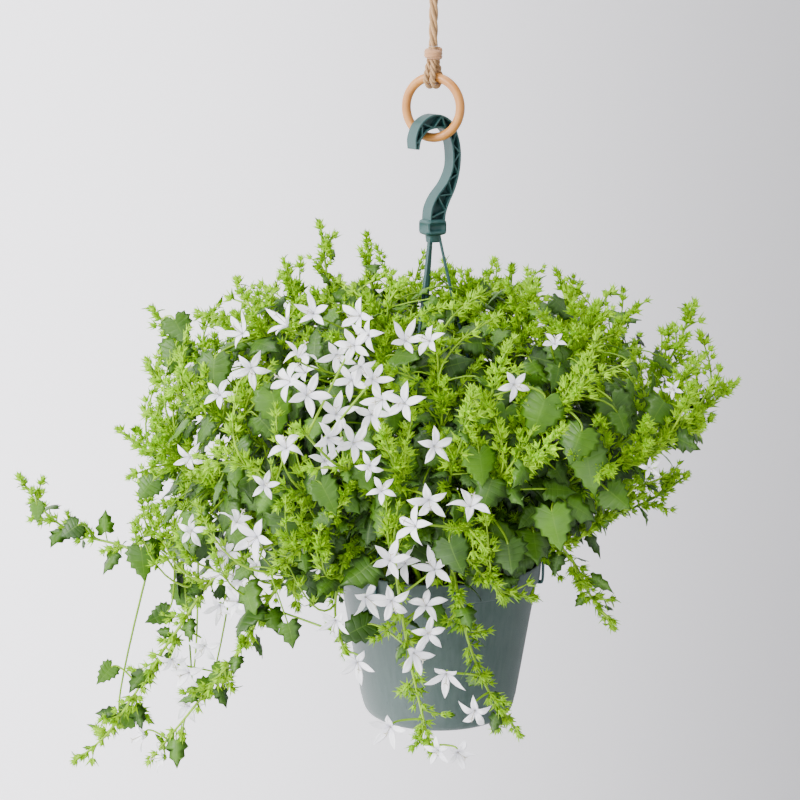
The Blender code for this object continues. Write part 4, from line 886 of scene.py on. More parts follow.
turn = full_turn(OVAL_SIDES)
oval = np.column_stack([power(np.cos(turn), OVAL_POWER), power(np.sin(turn), OVAL_POWER)])
wall, half_clip = POT_RIM_RADIUS, 1.0
toe = POT_RIM_Z - POT_BAND_HEIGHT + 0.15 - GAP - half_clip
clip_line = np.array([
    (wall - 6.0, POT_RIM_Z + 14), (wall - 3.4, POT_RIM_Z + 4), (wall - 0.8, POT_RIM_Z + half_clip + 0.6),
    (wall + half_clip - 0.2, POT_RIM_Z - 0.7), (wall + half_clip - 0.3, POT_RIM_Z - POT_BAND_HEIGHT + 0.7),
    (wall - 0.6, toe), (wall - 3.4, toe),
])
for number, angle in enumerate(ARM_ANGLES):
    out = np.array([math.cos(angle), math.sin(angle), 0])
    square = np.cross(out, UP)
    path = smooth_path(arm_path(angle), 4.0)
    arm = strap(f"arm_{number + 1}", path, square, 0.9 * ARM_THICKNESS / 2, 0.8 * ARM_WIDTH / 2)
    path = smooth_path(POT_AXIS + clip_line[:, :1] * out + clip_line[:, 1:] * UP, 1.2)
    widening = np.clip((np.arange(len(path)) - 8) / 6, 0, 1)
    widths = ARM_WIDTH / 2 + (CLIP_HALF_WIDTH - ARM_WIDTH / 2) * widening
    clip = strap(f"arm_clip_{number + 1}", path, square, half_clip, widths)
    for piece in (arm, clip):
        piece.data.set_sharp_from_angle(angle=math.radians(50))
web_path = RING_CENTRE * [1, 0, 0] + np.linspace(COLLAR_END + 1, COLLAR_END - 5, 8)[:, None] * UP
narrowing = np.linspace(4.8, 4.2, 8)
strap("arm_web", web_path, hook_across, narrowing, narrowing)
print("arms", len(ARM_ANGLES))

# %% [markdown]
# ## The pot and the soil
#
# The pot is thrown like a bowl on a lathe: a profile of radius and height turned round the axis. The
# profile goes up the outside, over the rim band and down the inside. The soil is a disc of rolling lumps, a
# sum of waves in many directions.

# %% The pot
POT_BASE_RADIUS = 48.0
POT_FOOT_RADIUS = 58.0
POT_SHOULDER_RADIUS = 71.5
POT_WALL = 1.5
POT_COLUMNS = 144


def turned_surface(profile, columns, centre):
    """A profile of (radius, height) rows turned round the vertical through centre."""
    turn = np.linspace(0, 2 * math.pi, columns, endpoint=False)
    radius = profile[:, 0][:, None]
    x = centre[0] + radius * np.cos(turn)
    y = centre[1] + radius * np.sin(turn)
    z = np.broadcast_to(profile[:, 1][:, None], x.shape)
    return np.stack([x, y, z], axis=-1)


band, rim, shoulder = POT_HEIGHT - POT_BAND_HEIGHT, POT_RIM_RADIUS, POT_SHOULDER_RADIUS
pot_profile = np.array([
    (0.05, 0.25), (POT_BASE_RADIUS - 6, 0.25), (POT_BASE_RADIUS - 5, 0.0), (POT_BASE_RADIUS, 0.0),
    (50.6, 0.7), (52.8, 2.2), (54.4, 4.6), (55.5, 8.0), (56.4, 12.0), (POT_FOOT_RADIUS - 1, 14.0),
    (60.6, 35.0), (64.2, 57.0), (67.9, 79.0), (shoulder - 0.15, band - 1.0), (shoulder, band - 0.2),
    (shoulder + 1.5, band + 0.1), (shoulder + 1.95, band + 0.6), (rim - 1.0, band + 6.0),
    (rim - 0.45, POT_HEIGHT - 1.6),
    (rim - 0.5, POT_HEIGHT - 0.6), (rim - 0.85, POT_HEIGHT - 0.12), (rim - 1.3, POT_HEIGHT),
    (rim - 1.8, POT_HEIGHT - 0.1), (rim - 2.1, POT_HEIGHT - 0.6), (shoulder - POT_WALL + 0.2, band),
    (POT_FOOT_RADIUS - 1 - POT_WALL, 14.4), (52.4, 5.0), (POT_BASE_RADIUS - 1, 2.0), (0.05, 2.0),
])
pot_profile[:, 1] += POT_BASE_Z
pot_points = turned_surface(pot_profile, POT_COLUMNS, POT_AXIS)
pot_faces = grid_faces(len(pot_profile), POT_COLUMNS, round_columns=True)
pot = make_piece("pot_moulding", pot_points, [pot_faces], pot_finish)
recalculate(pot, 2e-4)
pot.data.set_sharp_from_angle(angle=math.radians(38))
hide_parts("pot")
print("pot", triangle_count(pot), "triangles")

# %% The soil
SOIL_DEPTH_BELOW_RIM = 13.0
SOIL_Z = POT_RIM_Z - SOIL_DEPTH_BELOW_RIM
SOIL_RINGS, SOIL_COLUMNS, SOIL_WAVES = 34, 108, 26
draw = np.random.default_rng(5)
edge = POT_SHOULDER_RADIUS - POT_WALL - GAP - 1.6
below = np.array([(edge + 0.6, 2.0), (63.0, 48.0), (54.5, 87.0), (46.0, 99.0), (0.3, 99.6)])
reach = np.concatenate([np.linspace(0.3, edge, SOIL_RINGS), below[:, 0]])[:, None]
turn = np.linspace(0, 2 * math.pi, SOIL_COLUMNS, endpoint=False)[None]
x, y = reach * np.cos(turn), reach * np.sin(turn)
height = np.zeros_like(x)
for _ in range(SOIL_WAVES):
    heading, step = draw.uniform(0, 2 * math.pi), draw.uniform(4, 26)
    phase = draw.uniform(0, 2 * math.pi)
    height += step / 60 * np.sin((x * math.cos(heading) + y * math.sin(heading)) * 2 * math.pi / step + phase)
drop = np.concatenate([np.zeros(SOIL_RINGS), below[:, 1]])[:, None]
z = SOIL_Z + height * np.clip((edge - reach) / 10, 0, 1) - drop
soil_points = np.stack([POT_AXIS_X + x, y, z], axis=-1)
soil_faces = grid_faces(len(reach), SOIL_COLUMNS, round_columns=True)
soil = make_piece("soil_crumbs", soil_points, [soil_faces], soil_finish)
recalculate(soil)
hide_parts("soil")
print("soil", triangle_count(soil), "triangles")

# %% [markdown]
# ## The plan of the plant
#
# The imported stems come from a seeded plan. It has the stems and blooms that the photograph shows, as places
# in the picture with a depth, and a rule for what grows on them. The same plan is repeated here with the
# same seed, so each fine petal and leaf lands on its own solid. Growing new ones at random would leave them
# away from their solids.

# %% Values of the plan
SEED = 21
ROOT_DEPTH = 12.0
ROOT_CIRCLE = 60.0
ROOT_TURN = math.radians(137.5)
STEM_RADIUS = 1.5
STEM_SLACK = 2.4
STEMS_APART = 8.0
SPREAD_ROUNDS = 36
STALK_RADIUS = 0.85
ORGAN_TURN = 2.4
PETAL_REACH = 13.0
TIP_SIZE = 7.5
BUD_SIZE = 7.0
STEP = 5.0
ARM_STEP = 3.0
NEAR = 90.0

# Owners in the crowd that are no stem
ARM, HEAD, NOBODY = -1, -2, -3

# %% The stems and blooms that the photograph shows, and those round the back
SEEN_STEMS = [
    [
        (340, 515, -30), (250, 545, -30), (160, 558, -20), (120, 545, -10), (75, 533, 0), (45, 512, 0),
        (20, 478, 0),
    ],
    [
        (340, 525, -45), (270, 545, -60), (215, 577, -60), (183, 622, -55), (160, 655, -50), (110, 730, -40),
        (77, 760, -40),
    ],
    [(345, 530, -60), (300, 560, -84), (265, 605, -85), (243, 645, -80), (190, 712, -70), (150, 760, -60)],
    [(330, 500, 10), (270, 530, 20), (215, 515, 30), (170, 470, 30), (119, 430, 30)],
    [(330, 490, -40), (250, 500, -50), (200, 475, -50), (171, 425, -40)],
    [(345, 480, 30), (290, 440, 40), (230, 395, 30), (190, 350, 20), (153, 310, 20)],
    [(345, 480, -30), (270, 450, -60), (205, 410, -70), (165, 385, -65), (148, 362, -60)],
    [(350, 480, 60), (290, 410, 60), (250, 350, 60), (224, 315, 60)],
    [(360, 470, -10), (300, 400, -30), (262, 330, -25), (237, 281, -20)],
    [(365, 470, 30), (325, 390, 25), (300, 310, 20), (284, 261, 20)],
    [(375, 480, 0), (345, 400, -5), (335, 340, 0), (327, 275, 0), (320, 226, 0)],
    [(385, 480, 50), (375, 400, 40), (378, 330, 40), (372, 285, 40), (367, 238, 40)],
    [(390, 490, -60), (382, 400, -70), (386, 330, -65), (392, 276, -60)],
    [(420, 480, 60), (416, 400, 70), (412, 300, 60)],
    [(455, 480, 30), (465, 400, 30), (468, 330, 30), (469, 273, 30)],
    [(470, 480, 60), (495, 400, 65), (508, 330, 60), (512, 269, 60)],
    [(465, 480, -20), (500, 400, -30), (525, 330, -25), (537, 283, -20)],
    [(480, 480, 50), (530, 400, 55), (560, 340, 55), (575, 295, 50)],
    [(480, 490, -50), (540, 420, -60), (580, 350, -55), (597, 303, -50)],
    [(480, 490, 0), (550, 430, 0), (600, 370, 0), (618, 321, 0)],
    [(490, 500, 20), (570, 460, 20), (640, 400, 20), (675, 350, 20), (694, 304, 20)],
    [(490, 500, -50), (570, 470, -60), (640, 430, -60), (700, 360, -50)],
    [(500, 510, 0), (590, 490, 0), (660, 450, 0), (705, 410, 0), (736, 381, 0)],
    [(500, 510, -60), (580, 480, -85), (650, 450, -85), (700, 412, -70)],
    [(500, 520, 40), (590, 520, 40), (650, 500, 40), (683, 476, 40)],
    [(490, 525, -40), (540, 545, -50), (590, 525, -40), (641, 496, -30)],
    [(500, 520, -60), (545, 535, -80), (572, 560, -75), (590, 595, -65), (613, 627, -60)],
    [(400, 520, -90), (395, 555, -115), (400, 600, -112), (410, 660, -105), (431, 752, -105)],
    [(440, 520, -95), (455, 580, -112), (468, 640, -105), (488, 690, -98), (518, 733, -90)],
    [(450, 515, -90), (470, 560, -118), (500, 590, -118), (533, 598, -110)],
    [(370, 520, -80), (345, 560, -110), (335, 610, -112), (345, 655, -105)],
    [(500, 470, -90), (560, 410, -125), (592, 378, -130)],
    [(440, 450, -100), (438, 390, -112), (440, 330, -110)],
    [(470, 460, -110), (490, 400, -130), (506, 350, -130)],
    [(490, 490, -120), (530, 460, -155), (562, 430, -170)],
    [(450, 480, -125), (462, 440, -155), (470, 398, -170)],
    [(370, 490, -125), (330, 460, -155), (300, 428, -165)],
    [(350, 500, -110), (290, 490, -135), (248, 468, -140)],
    [(460, 525, -125), (475, 535, -155), (484, 548, -165)],
    [(405, 490, -130), (392, 460, -155), (382, 428, -168)],
    [(350, 525, -105), (305, 545, -130), (270, 572, -130)],
]

# Stems round the back, which the photograph hides: (azimuth in degrees, reach, tip height)
HIDDEN_STEMS = [
    (14, 190, -395), (28, 150, -300), (41, 205, -340), (55, 165, -470), (68, 135, -262), (81, 195, -310),
    (95, 175, -500), (108, 150, -275), (122, 200, -350), (137, 180, -440), (152, 165, -300),
]

# Blooms in the sprays that the photograph shows: (across, down, reach as a share of the usual one)
BLOOM_SPRAYS = [
    [(240, 332, 1.0), (251, 369, 1.0), (219, 394, 0.9)],
    [(284, 323, 1.05), (313, 312, 1.0), (300, 353, 1.0), (286, 381, 1.1)],
    [(357, 316, 1.05), (366, 335, 1.0), (354, 344, 1.0), (362, 367, 0.9), (375, 376, 0.9)],
    [(309, 392, 1.15), (300, 374, 1.0), (336, 358, 1.0), (350, 381, 1.0)],
    [(336, 413, 1.1), (332, 436, 1.1), (355, 443, 1.1), (371, 417, 1.0)],
    [(380, 401, 1.0), (403, 401, 1.1)],
    [(406, 339, 1.0), (428, 339, 0.9)],
    [(286, 446, 1.0)],
    [(325, 463, 1.0)],
    [(370, 466, 0.8), (382, 490, 0.8)],
    [(436, 446, 1.0)],
    [(555, 342, 0.7)],
    [(515, 385, 0.9)],
    [(471, 503, 1.15)],
    [(673, 389, 0.6)],
    [(650, 468, 0.6)],
    [(429, 502, 1.1), (412, 522, 1.1)],
    [(390, 559, 1.1), (403, 564, 1.1), (434, 567, 1.1)],
    [(368, 599, 1.1), (392, 599, 1.1), (426, 604, 1.0)],
    [(321, 570, 0.6)],
    [(335, 622, 1.0), (357, 663, 1.0)],
    [(429, 631, 1.0), (416, 649, 1.1)],
    [(446, 677, 1.1), (475, 713, 1.0)],
    [(389, 729, 1.05)],
    [(459, 754, 0.9), (437, 745, 0.8)],
    [(238, 520, 1.0), (255, 537, 1.2), (225, 553, 1.1), (191, 531, 0.9)],
    [(221, 572, 1.0), (236, 582, 1.0), (256, 566, 0.8), (236, 600, 1.1), (250, 613, 1.1), (219, 609, 0.9)],
    [(204, 648, 0.9), (186, 674, 1.1), (174, 659, 0.9), (186, 709, 1.0)],
    [(141, 735, 0.9), (161, 756, 0.8)],
    [(265, 485, 0.8)],
    [(189, 459, 0.9)],
]

# Blooms round the back: (azimuth in degrees, reach, height)
HIDDEN_BLOOMS = [
    (30, 140, -320), (62, 150, -330), (88, 160, -400), (112, 150, -330), (140, 170, -370), (160, 150, -330),
]

# Large leaves that the photograph shows: (across, down, length, turn of the tip from straight down)
LARGE_LEAVES = [
    (538, 418, 34, -10), (503, 428, 30, -5), (589, 474, 38, 15), (622, 418, 32, 30), (522, 388, 28, -30),
    (556, 532, 34, 5), (574, 448, 30, -20), (319, 590, 36, -25), (296, 582, 30, -35), (352, 566, 34, 60),
    (286, 531, 30, 10), (384, 521, 30, -30), (351, 632, 32, -70), (212, 378, 32, -15), (277, 413, 34, 20),
    (181, 332, 24, 30), (173, 360, 26, -20), (206, 546, 36, 60), (186, 602, 28, 10), (143, 566, 28, 10),
    (156, 618, 22, -60), (195, 691, 24, -80), (223, 674, 18, 80), (104, 676, 20, -50), (130, 720, 22, 60),
    (38, 514, 16, 5), (69, 531, 18, -60), (145, 490, 20, -40), (482, 470, 28, 0), (455, 560, 30, 20),
    (510, 560, 26, 10), (410, 470, 28, -20), (440, 620, 22, 40), (330, 500, 28, 20), (620, 500, 24, 50),
]
print("stems", len(SEEN_STEMS), "seen,", len(HIDDEN_STEMS), "hidden; sprays", len(BLOOM_SPRAYS))

# %% [markdown]
# ### From the picture to real places
#
# A place in the picture and a depth give a point on one line of sight. The front of the bush is a dome, so
# a bloom's depth follows from where it is seen.

# %% Real places
SEEN_DOME_MIDDLE, SEEN_DOME_SPAN = (430, 490), (320, 235)
DOME_DEPTH, SHALLOWEST = 165, 0.09
SEEN_POT_LEFT, SEEN_POT_RIGHT = 330, 540
SEEN_CURTAIN_TOP, CURTAIN_DEPTH = 560, 112.0
SEEN_TRAIL_TOP, TRAIL_DEPTH = 540, 62.0


def in_photo(across, down, depth):
    """The real place, in millimetres, of a point of the photograph that lies so far behind the hook."""
    cosine, sine = math.cos(VIEW_PITCH), math.sin(VIEW_PITCH)
    climb = (FRAME / 2 - down) / FRAME * VIEW_WIDTH
    height = (climb * (VIEW_DISTANCE + depth * cosine) - depth * sine) / (cosine + climb * sine)
    away = VIEW_DISTANCE + depth * cosine - height * sine
    side = (across - FRAME / 2) / FRAME * VIEW_WIDTH * away
    return np.array([VIEW_TARGET[0] + side, depth, VIEW_TARGET[2] + height])


def front_depth(across, down):
    """How far behind the hook the front of the bush lies there: a dome, and a curtain before the pot.

    The dome's depth is its greatest depth times the square root of one minus the squared ways from its
    middle.
    """
    if down > SEEN_CURTAIN_TOP and SEEN_POT_LEFT < across < SEEN_POT_RIGHT:
        return -CURTAIN_DEPTH
    if down > SEEN_TRAIL_TOP and across <= SEEN_POT_LEFT:
        return -TRAIL_DEPTH
    sideways = (across - SEEN_DOME_MIDDLE[0]) / SEEN_DOME_SPAN[0]
    dome = 1 - sideways**2 - ((down - SEEN_DOME_MIDDLE[1]) / SEEN_DOME_SPAN[1]) ** 2
    return -DOME_DEPTH * math.sqrt(max(dome, SHALLOWEST))


def outward(azimuth, rise=0.0):
    """The level direction at an azimuth in degrees, with a rise."""
    return np.array([math.cos(math.radians(azimuth)), math.sin(math.radians(azimuth)), rise])


# %% [markdown]
# ### Stems and the room between them
#
# Each stem keeps a rail of places where a stalk may start. A crowd of balls stands for all that is placed
# already, and a new organ is taken only where its own balls clear the crowd.

# %% A stem's line and the crowd


def sampled(line, gap):
    """Points along a line of straight runs, no further apart than gap."""
    pieces = [line[:1]]
    for a, b in zip(line[:-1], line[1:]):
        count = int(np.linalg.norm(b - a) / gap) + 1
        pieces.append(a + (b - a) * (np.arange(1, count + 1) / count)[:, None])
    return np.vstack(pieces)


def thinned(path, slack):
    """Only the points that a path needs to stay within slack of its own line."""
    if len(path) < 3:
        return path
    run = unit(path[-1] - path[0])
    off = path - path[0]
    off = np.linalg.norm(off - np.outer(off @ run, run), axis=1)
    worst = int(off.argmax())
    if off[worst] < slack:
        return path[[0, -1]]
    return np.vstack([thinned(path[:worst + 1], slack)[:-1], thinned(path[worst:], slack)])


class Stem:
    """A stem's line, and the places along it where a stalk may still start."""

    def __init__(self, line):
        self.line = line
        self.rail = sampled(line, 1.5)
        self.free = np.ones(len(self.rail), bool)
        self.free[:15] = False
        self.free[-3:] = False

    def foot(self, wish):
        """The free place nearest to a wish."""
        gaps = np.linalg.norm(self.rail - wish, axis=1)
        return int(np.where(self.free, gaps, 1e6).argmin())

    def at(self, share):
        """The place a share of the way along, and the stem's direction there."""
        spot = int(share * (len(self.rail) - 1))
        low, high = max(spot - 4, 0), min(spot + 4, len(self.rail) - 1)
        return self.rail[spot], unit(self.rail[high] - self.rail[low])

    def take(self, spot):
        """Marks a place and its neighbours as taken."""
        self.free[max(spot - 1, 0):spot + 2] = False


def clear_of_pot(centres, radii, above, beside):
    """Whether each ball stays over the rim or outside the wall, by the two given gaps."""
    from_axis = np.linalg.norm((centres - POT_AXIS)[:, :2], axis=1)
    return (centres[:, 2] - radii > POT_RIM_Z + above) | (from_axis - radii > POT_RIM_RADIUS + beside)


class Crowd:
    """Balls that stand for what is placed already, each with the number of the stem that owns it."""

    def __init__(self):
        self.centres = np.zeros((0, 3))
        self.radii = np.zeros(0)
        self.owners = np.zeros(0, int)

    def add(self, centres, radii, owner):
        """Takes balls into the crowd."""
        self.centres = np.vstack([self.centres, centres])
        self.radii = np.concatenate([self.radii, np.broadcast_to(radii, len(centres))])
        self.owners = np.concatenate([self.owners, np.full(len(centres), owner)])

    def is_clear(self, centres, radii, owner=NOBODY):
        """Whether balls clear the pot and all balls of other owners."""
        others = (self.owners != owner) & (np.abs(self.centres - centres.mean(axis=0)) < NEAR).all(axis=1)
        apart = np.linalg.norm(centres[:, None] - self.centres[others][None], axis=2)
        reach = np.broadcast_to(radii, len(centres))[:, None] + self.radii[others][None]
        return bool((apart > reach + GAP).all() and clear_of_pot(centres, radii, 2, 2).all())


# %% [markdown]
# ### Routes
#
# The stems root on a sunflower spiral in the soil, lean out and pass the points seen in the picture. Where
# two come too near, both are pushed apart, as they do when they grow.

# %% The stems' routes
PUSH_SHARES = [(0, 1.0), (1, 0.8), (-1, 0.8), (2, 0.5), (-2, 0.5), (3, 0.25), (-3, 0.25)]
PUSH = 0.35
TOUCHING = 2.0
HELD_POINTS = 4
RIM_INSIDE = 64
RIM_OUTSIDE = POT_RIM_RADIUS + 8
RIM_LIFT = 1.5


def root_places(count):
    """Places in the soil on a sunflower spiral: the reach grows with the square root of the order."""
    order = np.arange(count)
    reach = ROOT_CIRCLE * np.sqrt((order + 0.5) / count)
    turn = order * ROOT_TURN
    flat = np.column_stack([POT_AXIS_X + reach * np.cos(turn), reach * np.sin(turn)])
    return np.column_stack([flat, np.full(count, SOIL_Z)])


def stem_routes():
    """The points that each stem passes, from its root in the soil to its tip."""
    routes = [np.array([in_photo(*place) for place in stem]) for stem in SEEN_STEMS]
    for azimuth, reach, height in HIDDEN_STEMS:
        out = outward(azimuth)
        knee = POT_AXIS + out * reach * 0.52 + [0, 0, max(height, -420) - 25]
        shoulder = POT_AXIS + out * reach * 0.85 + [0, 0, max(height, -430) - 5]
        tip = POT_AXIS + out * reach + [0, 0, height]
        routes.append(np.array([knee, shoulder, tip]))
    free = list(root_places(len(routes)))
    order = sorted(range(len(routes)), key=lambda k: -np.linalg.norm((routes[k][0] - POT_AXIS)[:2]))
    for k in order:
        wish = POT_AXIS + 0.75 * (routes[k][0] - POT_AXIS)
        nearest = min(range(len(free)), key=lambda r: np.linalg.norm((free[r] - wish)[:2]))
        root = free.pop(nearest)
        lean = (routes[k][0] - root) * [0.12, 0.12, 0]
        start = [root - [0, 0, ROOT_DEPTH], root, root + lean + [0, 0, 22]]
        routes[k] = np.vstack([start, routes[k]])
    return routes


def off_the_rim(places, held):
    """Lifts the places that lie on the rim, and moves them outwards."""
    flat = places - POT_AXIS
    from_axis = np.linalg.norm(flat[:, :2], axis=1)
    rim = (places[:, 2] < POT_RIM_Z + 7) & ~held & (from_axis > RIM_INSIDE) & (from_axis < RIM_OUTSIDE)
    places[rim & (places[:, 2] > POT_RIM_Z - 30), 2] += RIM_LIFT
    places[rim, :2] += (flat[rim] / from_axis[rim, None])[:, :2]


def spread_stems(paths, arms):
    """Pushes lines apart where two come nearest, until the stems clear each other and the hanger's arms.

    The two nearest points of a pair move most, and their neighbours along each line less and less. Where two
    lines touch, they move square to both.
    """
    lines = list(paths) + list(arms)
    owners = np.concatenate([np.full(len(line), k) for k, line in enumerate(lines)])
    starts = np.cumsum([0] + [len(line) for line in lines])
    places = np.vstack(lines)
    held = np.concatenate([np.arange(len(line)) < HELD_POINTS for line in lines]) | (owners >= len(paths))
    for _ in range(SPREAD_ROUNDS):
        squares = (places**2).sum(axis=1)
        gaps = np.sqrt(np.maximum(squares[:, None] + squares[None] - 2 * places @ places.T, 1e-6))
        nearest = np.minimum.reduceat(np.minimum.reduceat(gaps, starts[:-1], axis=0), starts[:-1], axis=1)
        push = np.zeros_like(places)
        for k, other in zip(*np.where(np.triu(nearest < STEMS_APART, 1))):
            block = gaps[starts[k]:starts[k + 1], starts[other]:starts[other + 1]]
            i, j = np.unravel_index(block.argmin(), block.shape)
            i, j = i + starts[k], j + starts[other]
            away = places[i] - places[j]
            if block.min() < TOUCHING:
                before = [places[max(n - 1, starts[owners[n]])] for n in (i, j)]
                after = [places[min(n + 1, starts[owners[n] + 1] - 1)] for n in (i, j)]
                away = np.cross(after[0] - before[0], after[1] - before[1]) + 1e-3
            step = unit(away) * PUSH * (STEMS_APART - block.min())
            for number, weight in PUSH_SHARES:
                if starts[k] <= i + number < starts[k + 1]:
                    push[i + number] += weight * step
                if starts[other] <= j + number < starts[other + 1]:
                    push[j + number] -= weight * step
        push[held] = 0
        places += push
        off_the_rim(places, held)
    return [places[starts[k]:starts[k + 1]] for k in range(len(paths))]


def rooted(path, rest):
    """A stem's line: straight up from its root through the soil, and then the rest."""
    return np.vstack([path[0], path[0] + [0, 0, ROOT_DEPTH + 2.5], rest])


# %% [markdown]
# ### Stalks and the room that an organ takes
#
# A stalk starts on its stem, bends once and meets its organ straight on. A bloom tries places along the
# line of sight until it clears everything, and a leaf tries a few depths or turns.

# %% Stalks and balls
SHORTEST_STALK, SHORT_STALK = 3.5, 14
LEAF_SPOTS = [(0.05, 0), (0.3, 0.25), (0.3, -0.25), (0.6, 0.14), (0.6, -0.14), (0.85, 0)]
LEAF_BALLS = np.array([0.17, 0.21, 0.21, 0.19, 0.19, 0.13])


def stalk_to(stem, wish, neck, facing):
    """(spot, points) of a stalk from the stem near wish, bent once, that meets its organ straight on."""
    spot = stem.foot(wish)
    foot = stem.rail[spot]
    length = np.linalg.norm(neck - foot)
    if length < SHORTEST_STALK:
        return None
    is_short = length < SHORT_STALK
    bend = [] if is_short else [neck - min(7.0, 0.35 * length) * facing]
    points = np.array([foot, *bend, neck])
    if unit(points[1] - foot) @ facing < (0.35 if is_short else -0.25):
        return None
    return spot, points


def across_to(along, facing):
    """The unit side direction of an organ, and its facing made square to its length."""
    side = unit(np.cross(along, facing))
    return side, np.cross(side, along)


def stalk_balls(stalk):
    """Balls along a stalk."""
    points = sampled(stalk, 2.0)
    return points, np.full(len(points), STALK_RADIUS + 0.45)


def bloom_balls(place, facing, reach):
    """A ball in a bloom's throat and one on each of its five petals."""
    side = unit(np.cross(facing, [0.3, 0.1, 1.0]))
    turns = full_turn(5)
    over = np.cross(facing, side)
    tips = place + reach * 0.72 * (np.outer(np.cos(turns), side) + np.outer(np.sin(turns), over))
    return np.vstack([place[None], tips]), np.array([0.42] + [0.30] * 5) * reach


def leaf_balls(place, along, facing, length):
    """Six balls over a leaf's blade."""
    side, _ = across_to(along, facing)
    centres = np.array([place + length * (up * along + out * side) for up, out in LEAF_SPOTS])
    return centres, LEAF_BALLS * length


def bud_balls(place, facing, size):
    """One ball round a bud."""
    return np.array([place + 0.3 * size * facing]), np.array([0.78 * size])


def nearest_stems(stems, place, count):
    """The numbers of the stems nearest to a place, the nearest first."""
    gaps = [np.linalg.norm(stem.rail[stem.free] - place, axis=1).min() for stem in stems]
    return [int(k) for k in np.argsort(gaps)[:count]]


def carried(stems, carriers, crowd, head, wish, neck, facing):
    """The stem and stalk of an organ, on the first of the carriers where both clear the crowd."""
    if not crowd.is_clear(*head):
        return None
    for k in carriers:
        planned = stalk_to(stems[k], wish, neck, facing)
        if not planned:
            continue
        foot, stalk = planned
        run = stalk_balls(stalk)
        if crowd.is_clear(*run, k):
            crowd.add(*head, HEAD)
            crowd.add(*run, k)
            stems[k].take(foot)
            return {"stem": k, "stalk": stalk}
    return None


# %% [markdown]
# ### Blooms, leaves and buds on their stems
#
# The sprays that the photograph shows are placed first, then its large leaves, and then the smaller things
# that grow by rule. A bloom moves only along the line of sight, so its spray looks as in the picture.

# %% Blooms
BLOOM_SHIFTS = (0, 5, -5, 10, -10, 16, -16, 22, -22, 28, 34, -30, -38, 42, -46, 50, 60, 72)


def plan_blooms(stems, crowd, draw):
    """Every bloom hangs on a stem near its spray, and moves along the line of sight until it is clear."""
    middle = POT_AXIS + [0, 30, -430]
    sprays = []
    for spray in BLOOM_SPRAYS:
        places = [in_photo(across, down, front_depth(across, down) - 4) for across, down, _ in spray]
        sprays.append((places, [share * PETAL_REACH for _, _, share in spray], unit([0, -1, 0.12])))
    for azimuth, reach, height in HIDDEN_BLOOMS:
        out = outward(azimuth, 0.2)
        sprays.append(([POT_AXIS + out * reach + [0, 0, height]], [PETAL_REACH], unit(out)))
    organs = []
    for places, reaches, sight in sprays:
        carriers = nearest_stems(stems, np.mean(places, axis=0) - 25 * sight, 6)
        for place, reach in zip(places, reaches):
            facing = unit(0.5 * unit(place - middle) + 0.8 * sight + 0.30 * draw.normal(size=3))
            organs.append(plan_bloom(stems, carriers, crowd, place, facing, reach, sight))
    return organs


def plan_bloom(stems, carriers, crowd, place, facing, reach, sight):
    """One bloom, at the first place along its line of sight that has room."""
    for shift in BLOOM_SHIFTS:
        spot = place + shift * sight
        head = bloom_balls(spot, facing, reach)
        wish, neck = spot - 26 * facing - [0, 0, 8], spot - 0.45 * reach * facing
        held = carried(stems, carriers, crowd, head, wish, neck, facing)
        if held:
            return held | {"kind": "bloom", "place": spot, "facing": facing, "size": reach}
    return None


# %% Leaves
LEAF_DEPTHS = (14, 22, 6, 30, 40, -4, 52, 64, 76)


def plan_leaf(stems, carriers, crowd, wish, place, along, facing, length):
    """A leaf whose petiole comes from the nearest of the stems that lets it through."""
    held = carried(stems, carriers, crowd, leaf_balls(place, along, facing, length), wish, place, along)
    if not held:
        return None
    return held | {"kind": "leaf", "place": place, "along": along, "facing": facing, "size": length}


def plan_large_leaves(stems, crowd, draw):
    """The large leaves that the photograph shows, each at the first depth that has room."""
    organs = []
    for across, down, length, turn in LARGE_LEAVES:
        angle = math.radians(turn)
        depth = front_depth(across, down)
        for behind in LEAF_DEPTHS:
            tilt = draw.normal(size=2) * 0.12
            centre = in_photo(across, down, depth + behind)
            along = unit([math.sin(angle) + tilt[0], -0.35, -math.cos(angle)])
            _, facing = across_to(along, unit([tilt[1], -1.0, 0.45]))
            place = centre - along * length * 0.4
            wish = place - 9 * along - 16 * facing
            carriers = nearest_stems(stems, wish, 5)
            leaf = plan_leaf(stems, carriers, crowd, wish, place, along, facing, length)
            if leaf:
                organs.append(leaf)
                break
    return organs


def plan_stem_leaves(stems, crowd, draw):
    """A smaller leaf or two up each stem, by turns of the golden angle, where there is room."""
    organs = []
    for k, stem in enumerate(stems):
        for number, share in enumerate((0.42, 0.68) if k % 5 == 0 else (0.55,)):
            spot, run = stem.at(share)
            out = unit((spot - POT_AXIS) * [1, 1, 0.1] + [0, 0, 20])
            length = (27, 20)[number] * draw.uniform(0.85, 1.15)
            for attempt in range(6):
                turn = ORGAN_TURN * (number + attempt) + k
                side = unit(np.cross(run, out))
                around = unit(math.cos(turn) * side + math.sin(turn) * np.cross(run, side))
                place = spot + around * length * 0.6 + [0, 0, 3]
                along = unit(around + 0.25 * run + [0, 0, -0.45])
                _, facing = across_to(along, unit(out + [0, 0, 0.8]))
                leaf = plan_leaf(stems, [k], crowd, spot, place, along, facing, length)
                if leaf:
                    organs.append(leaf)
                    break
    return organs


# %% Tips and buds


def plan_tips(stems, crowd):
    """The spiky bud that ends each stem."""
    organs = []
    for k, stem in enumerate(stems):
        run = unit(stem.line[-1] - stem.line[-2])
        crowd.add(*bud_balls(stem.line[-1] + 2 * run, run, TIP_SIZE), HEAD)
        organs.append({"kind": "tip", "stem": k, "place": stem.line[-1], "facing": run, "size": TIP_SIZE})
    return organs


